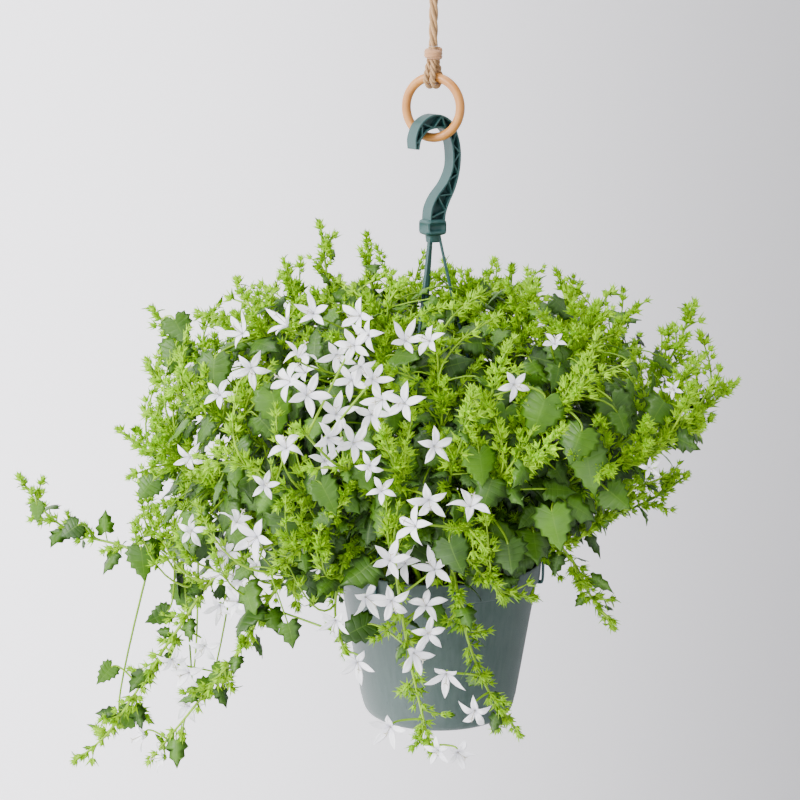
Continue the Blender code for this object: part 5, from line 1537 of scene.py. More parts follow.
def plan_buds(stems, crowd, draw):
    """A spiky bud on a short shoot under the tip of two stems in three."""
    organs = []
    for k, stem in enumerate(stems):
        if k % 3 == 0:
            continue
        last = len(stem.rail) - 1
        spot, run = stem.at(max(last - 12, 16) / last)
        for attempt in range(5):
            turn = ORGAN_TURN * attempt + 1.7 * k
            side = unit(np.cross(run, [0.2, 0.3, 1.0]))
            around = math.cos(turn) * side + math.sin(turn) * np.cross(run, side)
            facing = unit(around + 0.9 * run)
            place = spot + facing * draw.uniform(10, 13)
            head = bud_balls(place, facing, BUD_SIZE)
            held = carried(stems, [k], crowd, head, spot, place - 2.4 * facing, facing)
            if held:
                organs.append(held | {"kind": "bud", "place": place, "facing": facing, "size": BUD_SIZE})
                break
    return organs


# %% Grow the plan


def grow(arms):
    """The whole plan: the stems, their full lines, and every bloom, leaf and bud on them."""
    draw = np.random.default_rng(SEED)
    lines = spread_stems([smooth_path(route, STEP) for route in stem_routes()], arms)
    stems = [Stem(rooted(line, thinned(line[4:], STEM_SLACK))) for line in lines]
    crowd = Crowd()
    crowd.add(np.vstack(arms), 3.0, ARM)
    for k, stem in enumerate(stems):
        crowd.add(stem.rail, STEM_RADIUS + 0.4, k)
    organs = plan_tips(stems, crowd)
    organs += plan_blooms(stems, crowd, draw)
    organs += plan_large_leaves(stems, crowd, draw)
    organs += plan_buds(stems, crowd, draw)
    organs += plan_stem_leaves(stems, crowd, draw)
    return stems, lines, [organ for organ in organs if organ]


arm_lines = [smooth_path(arm_path(angle), ARM_STEP) for angle in ARM_ANGLES]
stems, stem_lines, organs = grow(arm_lines)
kinds = {"bloom": [], "leaf": [], "bud": [], "tip": []}
for organ in organs:
    kinds[organ["kind"]].append(organ)


def every(kind, key):
    """One entry of each organ of a kind, as an array."""
    return np.array([organ[key] for organ in kinds[kind]])


print("stems", len(stems), {kind: len(found) for kind, found in kinds.items()})

# %% [markdown]
# ## Organs from templates
#
# A bush has thousands of sepals and leaves, so each kind of organ is one template of length 1, placed many
# times: a point is its place plus its size times (x side + y along + z facing). All copies are worked out
# in one go.

# %% Placing copies of a template
stem_nodes = [f"leafy_stem_{number + 1:02d}" for number in range(len(stems))]


def foliage(name, points, faces, material, tones_and_shade=None, uv=None, smooth=True):
    """A piece of the plant, which stands for part of every packed stem; each copy may carry its own tone,
    which can hold painted shade.
    """
    points = np.reshape(points, (-1, 3))
    values = {} if tones_and_shade is None else {"tone_and_shade": np.repeat(tones_and_shade, len(points) // len(tones_and_shade))}
    piece = make_piece(name, points, faces, material, uv, values, smooth)
    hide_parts(*stem_nodes)
    print(name, triangle_count(piece), "triangles")


def planted(template, places, side, along, facing, sizes):
    """Copies of a template, turned to three directions and scaled; it may differ from copy to copy."""
    turned = np.stack([side, along, facing], axis=1)
    shapes = np.broadcast_to(template, (len(places),) + template.shape[-2:])
    return places[:, None] + np.asarray(sizes)[:, None, None] * np.einsum("npk,nkj->npj", shapes, turned)


def planted_faces(face_sets, count, corners):
    """The template's faces for each copy, whose points follow one another."""
    shift = corners * np.arange(count)[:, None, None]
    return [(faces[None] + shift).reshape(-1, faces.shape[1]) for faces in face_sets]


def square_to(facing, hint):
    """A side and an along direction, square to each facing, the second as near to a hint as it can be."""
    side = units(np.cross(np.broadcast_to(hint, facing.shape), facing))
    return side, np.cross(facing, side)


def square_part(vectors, axes):
    """The part of each vector that is square to its axis, made one long."""
    return units(vectors - (vectors * axes).sum(axis=1, keepdims=True) * axes)


def beside(run, turn):
    """The direction square to each run, at its own angle round it."""
    side, over = square_to(run, np.array([0.2, 0.3, 1.0]))
    return about(turn, side, over)


def blade_faces(rows, columns):
    """A thin closed blade: an upper and a lower grid that share their border."""
    upper = np.arange(rows * columns).reshape(rows, columns)
    lower = upper.copy()
    inner = np.arange((rows - 2) * (columns - 2)).reshape(rows - 2, columns - 2)
    lower[1:-1, 1:-1] = rows * columns + inner
    near, far = slice(0, -1), slice(1, None)
    corners = [(near, near), (near, far), (far, far), (far, near)]
    top, bottom = (
        np.stack([grid[corner] for corner in corners], axis=-1).reshape(-1, 4) for grid in (upper, lower)
    )
    return np.vstack([top, bottom[:, ::-1]])


def blade_points(grid, half_thickness):
    """The points of such a blade: the grid raised inside its border, and its inside again lowered."""
    upper = grid.copy()
    upper[1:-1, 1:-1, 2] += half_thickness
    lower = grid[1:-1, 1:-1].copy()
    lower[..., 2] -= half_thickness
    return np.vstack([upper.reshape(-1, 3), lower.reshape(-1, 3)])


def blade_uv(across, along):
    """A blade's UV map, from its columns' and rows' shares."""
    return blade_points(np.stack(np.broadcast_arrays(across, along, 0.0), axis=-1), 0.0)[:, :2]


# %% [markdown]
# ### Stems and stalks
#
# Stems, petioles and bud stalks are thin tubes. Each follows a quadratic curve through three points: its
# foot on the stem, the bend, and its organ's neck. Every tube of a kind is made at once, as one array of
# rings.

# %% Tubes
STEM_STATIONS, STEM_SIDES, ROOT_STATIONS = 60, 7, 6


def tubes(paths, radii, sides):
    """Rings round many paths of equal count, closed at both ends: (points, face sets)."""
    paths = np.asarray(paths, float)
    count, stations = paths.shape[:2]
    heading = units(paths[:, -1] - paths[:, 0])
    reference = np.eye(3)[np.abs(heading).argmin(axis=1)][:, None]
    _, side, over = path_frames(paths, reference)
    ring = about(full_turn(sides), side[:, :, None], over[:, :, None])
    radii = np.broadcast_to(radii, (count, stations))[..., None, None]
    points = (paths[:, :, None] + radii * ring).reshape(-1, 3)
    walls = grid_faces(stations, sides, round_columns=True)[:, ::-1]
    caps = np.array([np.arange(sides), sides * stations - 1 - np.arange(sides)])
    return points, planted_faces([walls, caps], count, stations * sides)


def bent(starts, bends, ends, stations):
    """Points along quadratic curves: (1-t)^2 start + 2t(1-t) bend + t^2 end."""
    t = np.linspace(0, 1, stations)[None, :, None]
    return (1 - t) ** 2 * starts[:, None] + 2 * t * (1 - t) * bends[:, None] + t**2 * ends[:, None]


def lengths_of(paths):
    """The length of each path."""
    return np.linalg.norm(np.diff(paths, axis=1), axis=2).sum(axis=1)


stem_paths = np.array([resampled(rooted(line, line[4:]), STEM_STATIONS) for line in stem_lines])
stem_lengths = lengths_of(stem_paths)
stem_radii = np.interp(np.linspace(0, 1, STEM_STATIONS), [0, 0.5, 1.0], [1.6, 1.25, 0.75])
rail = stem_paths[:, ROOT_STATIONS:].reshape(-1, 3)
rail_run = units(np.gradient(stem_paths, axis=1))[:, ROOT_STATIONS:].reshape(-1, 3)
draw = np.random.default_rng(7)
foliage("main_stems", *tubes(stem_paths, stem_radii, STEM_SIDES), stem_finish, draw.random(len(stems)))
print("longest stem", round(stem_lengths.max()), "mm")


def nearest_on_rail(places):
    """The nearest place on any stem to each of the given places, and the stem's direction there."""
    found = np.linalg.norm(places[:, None] - rail[None], axis=2).argmin(axis=1)
    return rail[found], rail_run[found]


def stalks_of(organs, stations):
    """The stalks of planned organs, their feet drawn onto the smooth stems."""
    stalks = [organ["stalk"] for organ in organs]
    feet, _ = nearest_on_rail(np.array([stalk[0] for stalk in stalks]))
    bends = np.array([stalk[-2] if len(stalk) > 2 else stalk.mean(axis=0) for stalk in stalks])
    return bent(feet, bends, np.array([stalk[-1] for stalk in stalks]), stations)


# %% [markdown]
# ### What keeps clear of what
#
# The blooms are what one sees first, so nothing that is added may stand inside one or close in front of it.
# Each bloom keeps a row of balls before its face, the hanger's arms keep balls along them, and the pot
# keeps its wall.

# %% Room before the blooms
BEFORE_BLOOM = np.array([(-2.0, 0.75), (5.0, 0.85), (13.0, 0.75), (24.0, 0.65), (36.0, 0.5)])
ARM_ROOM = 2.0
bloom_places, bloom_facing, bloom_reach = (every("bloom", key) for key in ("place", "facing", "size"))
kept_centres = (bloom_places[:, None] + BEFORE_BLOOM[None, :, :1] * bloom_facing[:, None]).reshape(-1, 3)
kept_radii = (bloom_reach[:, None] * BEFORE_BLOOM[None, :, 1]).ravel()
arm_places = np.vstack(arm_lines)
kept_centres = np.vstack([kept_centres, arm_places])
kept_radii = np.concatenate([kept_radii, np.full(len(arm_places), ARM_ROOM)])
low_corner = np.array(packed_box[0]) / MM + 1
high_corner = np.array(packed_box[1]) / MM - 1


def has_room(centres, radii):
    """Whether each ball is clear of the blooms, the arms and the pot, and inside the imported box."""
    gaps = np.linalg.norm(centres[:, None] - kept_centres[None], axis=2) - kept_radii[None]
    radii = np.broadcast_to(radii, len(centres))
    low, high = centres - radii[:, None], centres + radii[:, None]
    inside = (low > low_corner).all(axis=1) & (high < high_corner).all(axis=1)
    return (gaps > radii[:, None]).all(axis=1) & clear_of_pot(centres, radii, 1, 2) & inside


print("balls kept clear", len(kept_radii))

# %% [markdown]
# ## Blooms
#
# A bloom is five petals joined into a shallow funnel. One petal is a grid: across it s runs from -1 to 1,
# and r runs out from the throat to the tip. Its half width is r tan 36 degrees while the petals are joined,
# and then follows a pointed oval. The funnel's height is a curve of r, and the edges curl up a little with
# s squared.

# %% The bloom's template
PETALS, PETAL_ROWS, PETAL_COLUMNS = 5, 11, 7
HALF_WIDTHS = (
    [0, 0.26, 0.36, 0.48, 0.60, 0.72, 0.84, 0.93, 1.0],
    [0, 0.180, 0.182, 0.190, 0.178, 0.138, 0.082, 0.036, 0.003],
)
HEIGHTS = (
    [0.02, 0.10, 0.20, 0.32, 0.5, 0.7, 0.85, 1.0], [-0.26, -0.22, -0.12, -0.02, 0.05, 0.08, 0.07, 0.02],
)
HALF_PETAL = 0.016
EDGE_CURL, RIB_DEPTH, RIB_FROM = 0.22, 0.02, 0.2
r = np.linspace(0.02, 1, PETAL_ROWS)[:, None]
s = np.linspace(-1, 1, PETAL_COLUMNS)[None]
half, lift = np.interp(r, *HALF_WIDTHS), np.interp(r, *HEIGHTS)
height = lift + half * EDGE_CURL * s**2 - RIB_DEPTH * np.exp(-(s**2) * 30) * (r > RIB_FROM)
petal = blade_points(np.stack(np.broadcast_arrays(half * s, r, height), axis=-1), HALF_PETAL)
petal_uv = blade_uv((s + 1) / 2, r)
turn = full_turn(PETALS)
petal_along = np.column_stack([np.cos(turn), np.sin(turn), np.zeros(PETALS)])
petal_side = np.column_stack([np.sin(turn), -np.cos(turn), np.zeros(PETALS)])
petal_turns = np.stack([petal_side, petal_along, np.tile([0, 0, 1.0], (PETALS, 1))], axis=1)
print("petal", len(petal), "points")

# %% The blooms
TILTED_HINT = np.array([0.3, 0.1, 1.0])
draw = np.random.default_rng(11)
count = len(bloom_places)
bloom_facing = units(bloom_facing + 0.36 * draw.normal(size=(count, 3)))
side, over = square_to(bloom_facing, TILTED_HINT)
spin = draw.uniform(-0.63, 0.63, (count, 1))
bloom_side = -np.cos(spin) * side - np.sin(spin) * over
bloom_other = np.sin(spin) * side - np.cos(spin) * over
bend = draw.normal(0, 0.20, (count, PETALS, 1)) + draw.normal(0.0, 0.26, (count, 1, 1))
twist = draw.normal(0, 0.15, (count, PETALS, 1))
shapes = np.broadcast_to(petal, (count, PETALS) + petal.shape).copy()
out = np.clip(shapes[..., 1] - 0.3, 0, None)
shapes[..., 2] += bend * out**1.5 * 1.6
shapes[..., 2] += twist * out * shapes[..., 0] * 6
shapes[..., 0] += draw.normal(0, 0.10, (count, PETALS, 1)) * out
shapes[..., 1] *= 1 + draw.normal(0, 0.06, (count, PETALS, 1))
stars = np.einsum("nkpq,kqj->nkpj", shapes, petal_turns).reshape(count, -1, 3)
points = planted(stars, bloom_places, bloom_side, bloom_other, bloom_facing, bloom_reach)
faces = planted_faces([blade_faces(PETAL_ROWS, PETAL_COLUMNS)], PETALS * count, len(petal))
foliage("petals", points, faces, petal_finish, uv=np.tile(petal_uv, (PETALS * count, 1)))

# %% [markdown]
# ### The styles
#
# From each throat stands a pale style, which splits in three curled lobes at its end.

# %% The styles
STYLE_RADII, LOBE_RADII = [0.5, 0.35, 0.33, 0.42, 0.55], [0.42, 0.42, 0.4, 0.34, 0.22]
LOBES, STYLE_SIDES = 3, 5
draw = np.random.default_rng(12)
lean = units(bloom_facing + 0.10 * draw.normal(size=(count, 3)))
foot = bloom_places - 0.34 * bloom_reach[:, None] * bloom_facing
head = foot + 0.92 * bloom_reach[:, None] * lean
points, faces = tubes(bent(foot, (foot + head) / 2, head, len(STYLE_RADII)), STYLE_RADII, STYLE_SIDES)
lobe_out = about(full_turn(LOBES), bloom_side[:, None], bloom_other[:, None]).reshape(-1, 3)
lobe_start, lobe_up = np.repeat(head, LOBES, axis=0), np.repeat(lean, LOBES, axis=0)
lobe_bend = lobe_start + lobe_up + 0.8 * lobe_out
lobe_end = lobe_start + 0.9 * lobe_up + 2.1 * lobe_out
lobe_paths = bent(lobe_start, lobe_bend, lobe_end, len(LOBE_RADII))
lobe_points, lobe_faces = tubes(lobe_paths, LOBE_RADII, STYLE_SIDES)
all_faces = faces + [each + len(points) for each in lobe_faces]
foliage("styles", np.vstack([points, lobe_points]), all_faces, style_finish)

# %% [markdown]
# ## Leaves
#
# The leaf is a grid between its rib and its edge. The edge goes from the notch round a lobe, out to the
# widest place and in to the tip, by a pointed tooth at every second row. The rows fan from the rib to the
# edge as the side veins do, so the pattern of veins follows them. Each blade then falls away from its rib
# and bends down along its length, by its own amount.

# %% The leaf's template
LARGE_EDGE = [
    (0.02, 0.0), (0.10, -0.17), (0.25, -0.27), (0.33, -0.18), (0.47, -0.20), (0.46, -0.06), (0.60, 0.02),
    (0.49, 0.13), (0.56, 0.28), (0.41, 0.35), (0.43, 0.52), (0.27, 0.57), (0.255, 0.73), (0.125, 0.79),
    (0.004, 1.0),
]
LARGE_RIB = [0, 0.02, 0.04, 0.06, 0.08, 0.11, 0.17, 0.25, 0.34, 0.44, 0.54, 0.65, 0.76, 0.88, 0.985]
SMALL_EDGE = [
    (0.02, -0.02), (0.22, -0.15), (0.46, -0.08), (0.38, 0.06), (0.52, 0.26), (0.32, 0.38), (0.35, 0.60),
    (0.16, 0.72), (0.004, 1.0),
]
SMALL_RIB = [0, 0.03, 0.06, 0.12, 0.24, 0.38, 0.54, 0.72, 0.985]
HALF_LEAF = 0.011
RIPPLE = 0.022

# The middle and the spread of how leaves fold, curl and sway
LEAF_BENDS = ((0.16, 0.13), (0.20, 0.13), (0, 0.06))


def leaf_template(edge, rib, columns):
    """(points, faces, uv) of a toothed heart, whose rows run from a place on the rib to one on the edge."""
    edge, rib = np.array(edge), np.array(rib)
    rows = len(edge)
    row = np.arange(rows)[:, None]
    s = np.linspace(-1, 1, columns)[None]
    far = np.abs(s)
    y = (1 - far) * rib[:, None] + far * edge[:, 1:]
    grid = np.stack([edge[:, :1] * s, y, RIPPLE * np.sin(row * 2.1) * far**2], axis=-1)
    uv = blade_uv((s + 1) / 2, row / (rows - 1))
    return blade_points(grid, HALF_LEAF), [blade_faces(rows, columns)], uv


def bent_leaves(template, fold, curl, sway):
    """Each copy folds down from its rib, curls down towards its tip and sways sideways.

    The height falls by fold times |x| plus curl times y squared, and x moves by sway times y squared.
    """
    shapes = np.broadcast_to(template, (len(fold),) + template.shape).copy()
    x, y = shapes[..., 0], shapes[..., 1]
    shapes[..., 2] -= fold[:, None] * np.abs(x) + curl[:, None] * np.clip(y, 0, None) ** 2
    shapes[..., 0] *= (1 + 2 * fold - 0.35)[:, None].clip(0.8, 1.1)
    shapes[..., 0] += sway[:, None] * y**2
    return shapes


def make_leaves(name, template, places, along, facing, sizes, tones_and_shade, draw):
    """A piece of leaves, each bent by its own amount."""
    points, face_sets, uv = template
    side = units(np.cross(along, facing))
    count = len(places)
    fold, curl, sway = (draw.normal(middle, off, count) for middle, off in LEAF_BENDS)
    shapes = bent_leaves(points, fold, curl, sway)
    placed = planted(shapes, places, side, along, np.cross(side, along), sizes)
    faces = planted_faces(face_sets, count, len(points))
    foliage(name, placed, faces, leaf_finish, tones_and_shade, np.tile(uv, (count, 1)))


# %% The planned leaves
LEAF_SHARE = 0.80
draw = np.random.default_rng(13)
leaf_places, leaf_along, leaf_facing = (every("leaf", key) for key in ("place", "along", "facing"))
leaf_sizes = LEAF_SHARE * every("leaf", "size")
leaf_tones = draw.uniform(0.1, 1.0, len(leaf_places))
large_leaf = leaf_template(LARGE_EDGE, LARGE_RIB, 9)
make_leaves("leaves", large_leaf, leaf_places, leaf_along, leaf_facing, leaf_sizes, leaf_tones, draw)
print("leaves", len(leaf_places))

# %% [markdown]
# ### The leaves inside the bush
#
# Behind what the plan names, the bush is full of leaves. Places are drawn in a dome-shaped shell round the
# crown, and a leaf is kept where it has room. Its petiole comes from the nearest stem behind it, so no leaf
# hangs in the air.

# %% The dome's shape
CROWN = POT_AXIS + [-8.0, 0.0, -402.0]
DOME = np.array([205.0, 160.0, 165.0])


def dome_directions(count, lowest):
    """Even directions over the upper part of a ball, on a sunflower spiral."""
    order = np.arange(count) + 0.5
    up = 1 - (1 - lowest) * order / count
    turn = order * math.pi * (3 - math.sqrt(5))
    level = np.sqrt(np.maximum(1 - up**2, 0))
    return np.column_stack([level * np.cos(turn), level * np.sin(turn), up])


def in_dome(towards, share):
    """Places a share of the way out to the dome: an ellipsoid with full shoulders, by a sum of cubes."""
    full = (np.abs(towards) ** 3).sum(axis=1, keepdims=True) ** (1 / 3)
    return CROWN + towards / full * DOME * share[:, None]


def over_the_rim(centres):
    """The bush's underside: to the right it climbs from the rim, and to the left it hangs a little."""
    flat = (centres - POT_AXIS)[:, :2]
    reach = np.linalg.norm(flat, axis=1)
    climb = np.interp(flat[:, 0] / np.maximum(reach, 1), [-1, -0.3, 0.2, 0.8], [-0.35, 0.0, 0.35, 0.92])
    return centres[:, 2] > POT_RIM_Z - 8 + climb * (reach - POT_RIM_RADIUS)


def thin_out(centres, radii, overlap):
    """Keeps a place where it stands clear enough of those kept before it."""
    gaps = np.linalg.norm(centres[:, None] - centres[None], axis=2)
    too_near = gaps < overlap * (radii[:, None] + radii[None])
    kept = np.zeros(len(centres), bool)
    for number in range(len(centres)):
        kept[number] = not (too_near[number] & kept).any()
    return kept


# %% The inner leaves
INNER_TRIED, INNER_LOWEST = 1500, -0.28
PETIOLE_STATIONS, PETIOLE_SIDES, PETIOLE_RADIUS = 5, 4, 0.55
draw = np.random.default_rng(14)
towards = units(dome_directions(INNER_TRIED, INNER_LOWEST) + 0.10 * draw.normal(size=(INNER_TRIED, 3)))
share = draw.uniform(0.42, 0.93, INNER_TRIED)
centres = in_dome(towards, share)
sizes = draw.uniform(16, 29, INNER_TRIED) * np.interp(share, [0.4, 1.0], [1.1, 0.78])
room = has_room(centres, 0.30 * sizes) & over_the_rim(centres - 0.35 * sizes[:, None] * UP)
room[room] = thin_out(centres[room], 0.42 * sizes[room], 0.62)
centres, sizes, towards, share = centres[room], sizes[room], towards[room], share[room]
count = len(centres)
facing = units(towards * [1, 1, 0.6] + [0, -0.12, 0.45] + 0.35 * draw.normal(size=(count, 3)))
hang = units(-UP + 0.75 * draw.normal(size=(count, 3)) + 0.5 * towards * [1, 1, 0])
along = square_part(hang, facing)
places = centres - 0.42 * sizes[:, None] * along
# The tone rises with the share of the way out, so leaves deep in the bush are painted darker: painted shade,
# with random tone on top.
tones_and_shade = np.clip(np.interp(share, [0.45, 0.95], [0.0, 0.6]) + draw.normal(0, 0.22, count), 0, 1)
inner_leaf = leaf_template(SMALL_EDGE, SMALL_RIB, 5)
make_leaves("inner_leaves", inner_leaf, places, along, facing, sizes, tones_and_shade, draw)
feet, _ = nearest_on_rail(places - 14 * towards - 8 * along)
bends = places - 0.3 * np.linalg.norm(places - feet, axis=1)[:, None] * along
points, faces = tubes(bent(feet, bends, places, PETIOLE_STATIONS), PETIOLE_RADIUS, PETIOLE_SIDES)
foliage("inner_petioles", points, faces, stem_finish, draw.uniform(0, 0.6, count))
print("inner leaves", count)

# %% [markdown]
# ### The leaves up the stems
#
# Small leaves sit on the bare stretch of each stem, 15 mm apart and turned by the golden angle from one to
# the next.

# %% The leaves up the trailing stems
SMALL_LEAF_GAP = 15.0
draw = np.random.default_rng(18)
starts, runs = [], []
for stem_path, length in zip(stem_paths, stem_lengths):
    marks = np.arange(0.30 * length, 0.93 * length, SMALL_LEAF_GAP) / length * (STEM_STATIONS - 1)
    spots = marks.astype(int)
    starts.append(stem_path[spots])
    runs.append(units(stem_path[spots + 1] - stem_path[spots - 1]))
starts, runs = np.vstack(starts), np.vstack(runs)
count = len(starts)
out = beside(runs, np.arange(count) * ORGAN_TURN + draw.normal(0, 0.3, count))
sizes = draw.uniform(9, 19, count)
along = units(out + 0.4 * runs + [0, 0, -0.35])
facing = square_part(units([0, -0.3, 0.9] + 0.4 * draw.normal(size=(count, 3))), along)
places = starts + 0.45 * sizes[:, None] * units(out + 0.5 * runs)
room = has_room(places + 0.45 * sizes[:, None] * along, 0.32 * sizes)
tones_and_shade = draw.uniform(0.15, 1.0, count)[room]
small_leaf = leaf_template(SMALL_EDGE, SMALL_RIB, 3)
make_leaves("stem_leaves", small_leaf, places[room], along[room], facing[room], sizes[room], tones_and_shade, draw)
bends = 0.4 * starts + 0.6 * places
points, faces = tubes(bent(starts[room], bends[room], places[room], 4), 0.45, 4)
foliage("stem_leaf_stalks", points, faces, stem_finish, [0.5])
print("stem leaves", int(room.sum()))

# %% [markdown]
# ## Side shoots
#
# The lime-green texture of the bush is its flowering shoots: each stem carries side shoots, and each shoot
# a row of spiky calyces and narrow bracts. Shoots start from the plan's stems at turns of the golden angle,
# and more reach for even places over the dome, each from the stem behind it.

# %% The shoots' lines
GOLDEN = 2.399963
SHOOT_GAP, FIRST_SHOOT = 18.0, 0.38
DOME_SHOOTS, DOME_LOWEST = 500, -0.05
SHOOT_STATIONS, SHOOT_SIDES = 9, 5
draw = np.random.default_rng(15)


def shoots_along_stems():
    """(starts, bends, ends) of shoots up the stems, turned by the golden angle from one to the next."""
    starts, bends, ends = [], [], []
    for number, (path, length) in enumerate(zip(stem_paths, stem_lengths)):
        marks = np.arange(FIRST_SHOOT * length, length - 12, SHOOT_GAP)
        spots = np.clip((marks / length * (STEM_STATIONS - 1)).astype(int), 1, STEM_STATIONS - 2)
        run = units(path[spots + 1] - path[spots - 1])
        around = beside(run, np.arange(len(spots)) * GOLDEN + number)
        shorter = np.interp(marks / length, [0.4, 1.0], [1.15, 0.6])
        reach = (draw.uniform(13, 30, len(spots)) * shorter)[:, None]
        heading = units(0.75 * run + 0.8 * around + [0, 0, 0.25])
        starts.append(path[spots])
        bends.append(path[spots] + 0.45 * reach * units(run + 0.6 * around))
        ends.append(path[spots] + reach * heading)
    return np.vstack(starts), np.vstack(bends), np.vstack(ends)


def shoots_over_dome():
    """(starts, bends, ends) of shoots that reach even places over the dome from the stems behind them."""
    towards = units(dome_directions(DOME_SHOOTS, DOME_LOWEST) + 0.07 * draw.normal(size=(DOME_SHOOTS, 3)))
    ends = in_dome(towards, draw.uniform(0.80, 1.02, DOME_SHOOTS) + 0.10 * draw.random(DOME_SHOOTS) ** 4)
    heading = units(0.5 * towards + [0, 0, 0.7])
    starts, run = nearest_on_rail(ends - 42 * heading)
    length = np.linalg.norm(ends - starts, axis=1, keepdims=True)
    bends = starts + 0.45 * length * units(run + 0.8 * heading)
    near = (length[:, 0] < 75) & (length[:, 0] > 16) & over_the_rim(ends) & over_the_rim(bends)
    return starts[near], bends[near], ends[near]


lines = [np.vstack(pair) for pair in zip(shoots_along_stems(), shoots_over_dome())]
room = has_room(lines[2], 3.0) & has_room((lines[1] + lines[2]) / 2, 1.5)
shoot_paths = bent(*(line[room] for line in lines), SHOOT_STATIONS)
shoot_lengths = lengths_of(shoot_paths)
points, faces = tubes(shoot_paths, np.linspace(0.9, 0.5, SHOOT_STATIONS), SHOOT_SIDES)
foliage("side_shoots", points, faces, stem_finish, draw.uniform(0.3, 1.0, len(shoot_paths)))
print("shoots", len(shoot_paths))

# %% [markdown]
# ### Calyces
#
# A calyx is a pointed closed bud in five narrow sepals that stand out round it like a little star. Seen
# from a step away these stars are the plant's texture. Each sepal is a slim three-sided spike from the cup
# to a point.

# %% The calyx's template
SEPALS = 5
CORE_WIDTH, CORE_LEVEL, CORE_ENDS = 0.27, 0.34, (-0.12, 0.92)
HALF_BRACT = 0.022


def facing_out(points, faces):
    """Faces of a convex form, each turned to look away from its middle."""
    corners = points[faces]
    normal = np.cross(corners[:, 1] - corners[:, 0], corners[:, 2] - corners[:, 1])
    inward = ((corners.mean(axis=1) - points.mean(axis=0)) * normal).sum(axis=1) < 0
    return np.where(inward[:, None], faces[:, ::-1], faces)


def calyx_template():
    """(points, faces) of five pointed sepals round a closed bud, along z."""
    sepal = np.array([(-0.17, 0.10, 0.10), (0.17, 0.10, 0.10), (0.0, 0.26, 0.02), (0.0, 0.66, 0.92)])
    faces = facing_out(sepal, np.array([(0, 1, 3), (1, 2, 3), (2, 0, 3), (0, 1, 2)]))
    turn = full_turn(SEPALS)
    cosine, sine = np.cos(turn)[:, None], np.sin(turn)[:, None]
    x, y, z = sepal.T
    turned = np.broadcast_arrays(cosine * x - sine * y, sine * x + cosine * y, z)
    sepals = np.stack(turned, axis=-1).reshape(-1, 3)
    faces = planted_faces([faces], SEPALS, len(sepal))[0]
    level = np.full(SEPALS, CORE_LEVEL)
    ring = np.column_stack([CORE_WIDTH * np.cos(turn), CORE_WIDTH * np.sin(turn), level])
    core = np.vstack([ring, [(0, 0, end) for end in CORE_ENDS]])
    k = np.arange(SEPALS)
    k_next = (k + 1) % SEPALS
    ends = [np.stack([k, k_next, np.full(SEPALS, end)], axis=1) for end in (SEPALS, SEPALS + 1)]
    return np.vstack([sepals, core]), np.vstack([faces, facing_out(core, np.vstack(ends)) + len(sepals)])


def bract_template():
    """(points, face sets) of a narrow pointed blade along y."""
    rows = np.array([(0.03, 0.0, 0.0), (0.20, 0.30, 0.04), (0.16, 0.62, 0.03), (0.006, 1.0, -0.08)])
    s = np.array([-1.0, 0.0, 1.0])
    height = rows[:, 2:] + 0.05 * np.abs(s)
    grid = np.stack(np.broadcast_arrays(rows[:, :1] * s, rows[:, 1:2], height), axis=-1)
    return blade_points(grid, HALF_BRACT), [blade_faces(4, 3)]


template, calyx_faces = calyx_template()
print("calyx", len(template), "points")

# %% [markdown]
# ### Where the calyces and bracts sit
#
# Down from each shoot's tip they follow one another by the golden angle, closer and smaller towards the
# tip. The same rule dresses the ends of the main stems.

# %% Calyces along the shoots
SHOOT_DRESS, SHOOT_CALYX_GAP = 28.0, 9.5
STEM_DRESS, TRAIL_DRESS, STEM_CALYX_GAP = 62.0, 170.0, 7.6


def dress(paths, lengths, reach, gap, draw):
    """(bases, places, directions, sizes) of calyces in clusters up the last reach of each path."""
    bases, places, headings, sizes = [], [], [], []
    stations = np.arange(paths.shape[1])
    runs = units(np.gradient(paths, axis=1))
    for number, path in enumerate(paths):
        stretch = min(reach[number], 0.78 * lengths[number])
        back = [0.0]
        while back[-1] < stretch:
            back.append(back[-1] + gap * (0.45 + 0.55 * min(back[-1] / 30, 1)) * draw.uniform(0.75, 1.25))
        back = np.repeat(np.array(back), draw.integers(1, 4, len(back)))
        count = len(back)
        spot = (1 - back / lengths[number]) * stations[-1]
        base, heading = read_at(spot, stations, path), read_at(spot, stations, runs[number])
        around = beside(units(heading), np.arange(count) * GOLDEN + number + draw.normal(0, 0.3, count))
        lean = np.interp(back, [0, 5, 30], [0.25, 0.75, 1.0])[:, None] * draw.uniform(0.5, 1.4, (count, 1))
        facing = units(heading + lean * around)
        stalk = np.interp(back, [0, 5, 35], [0.6, 2.0, 4.6])[:, None] * draw.uniform(0.6, 1.4, (count, 1))
        places.append(base + stalk * facing)
        bases.append(base)
        headings.append(facing)
        sizes.append(np.interp(back, [0, 25], [4.9, 6.0]) * draw.uniform(0.8, 1.2, count))
    return np.vstack(bases), np.vstack(places), np.vstack(headings), np.concatenate(sizes)


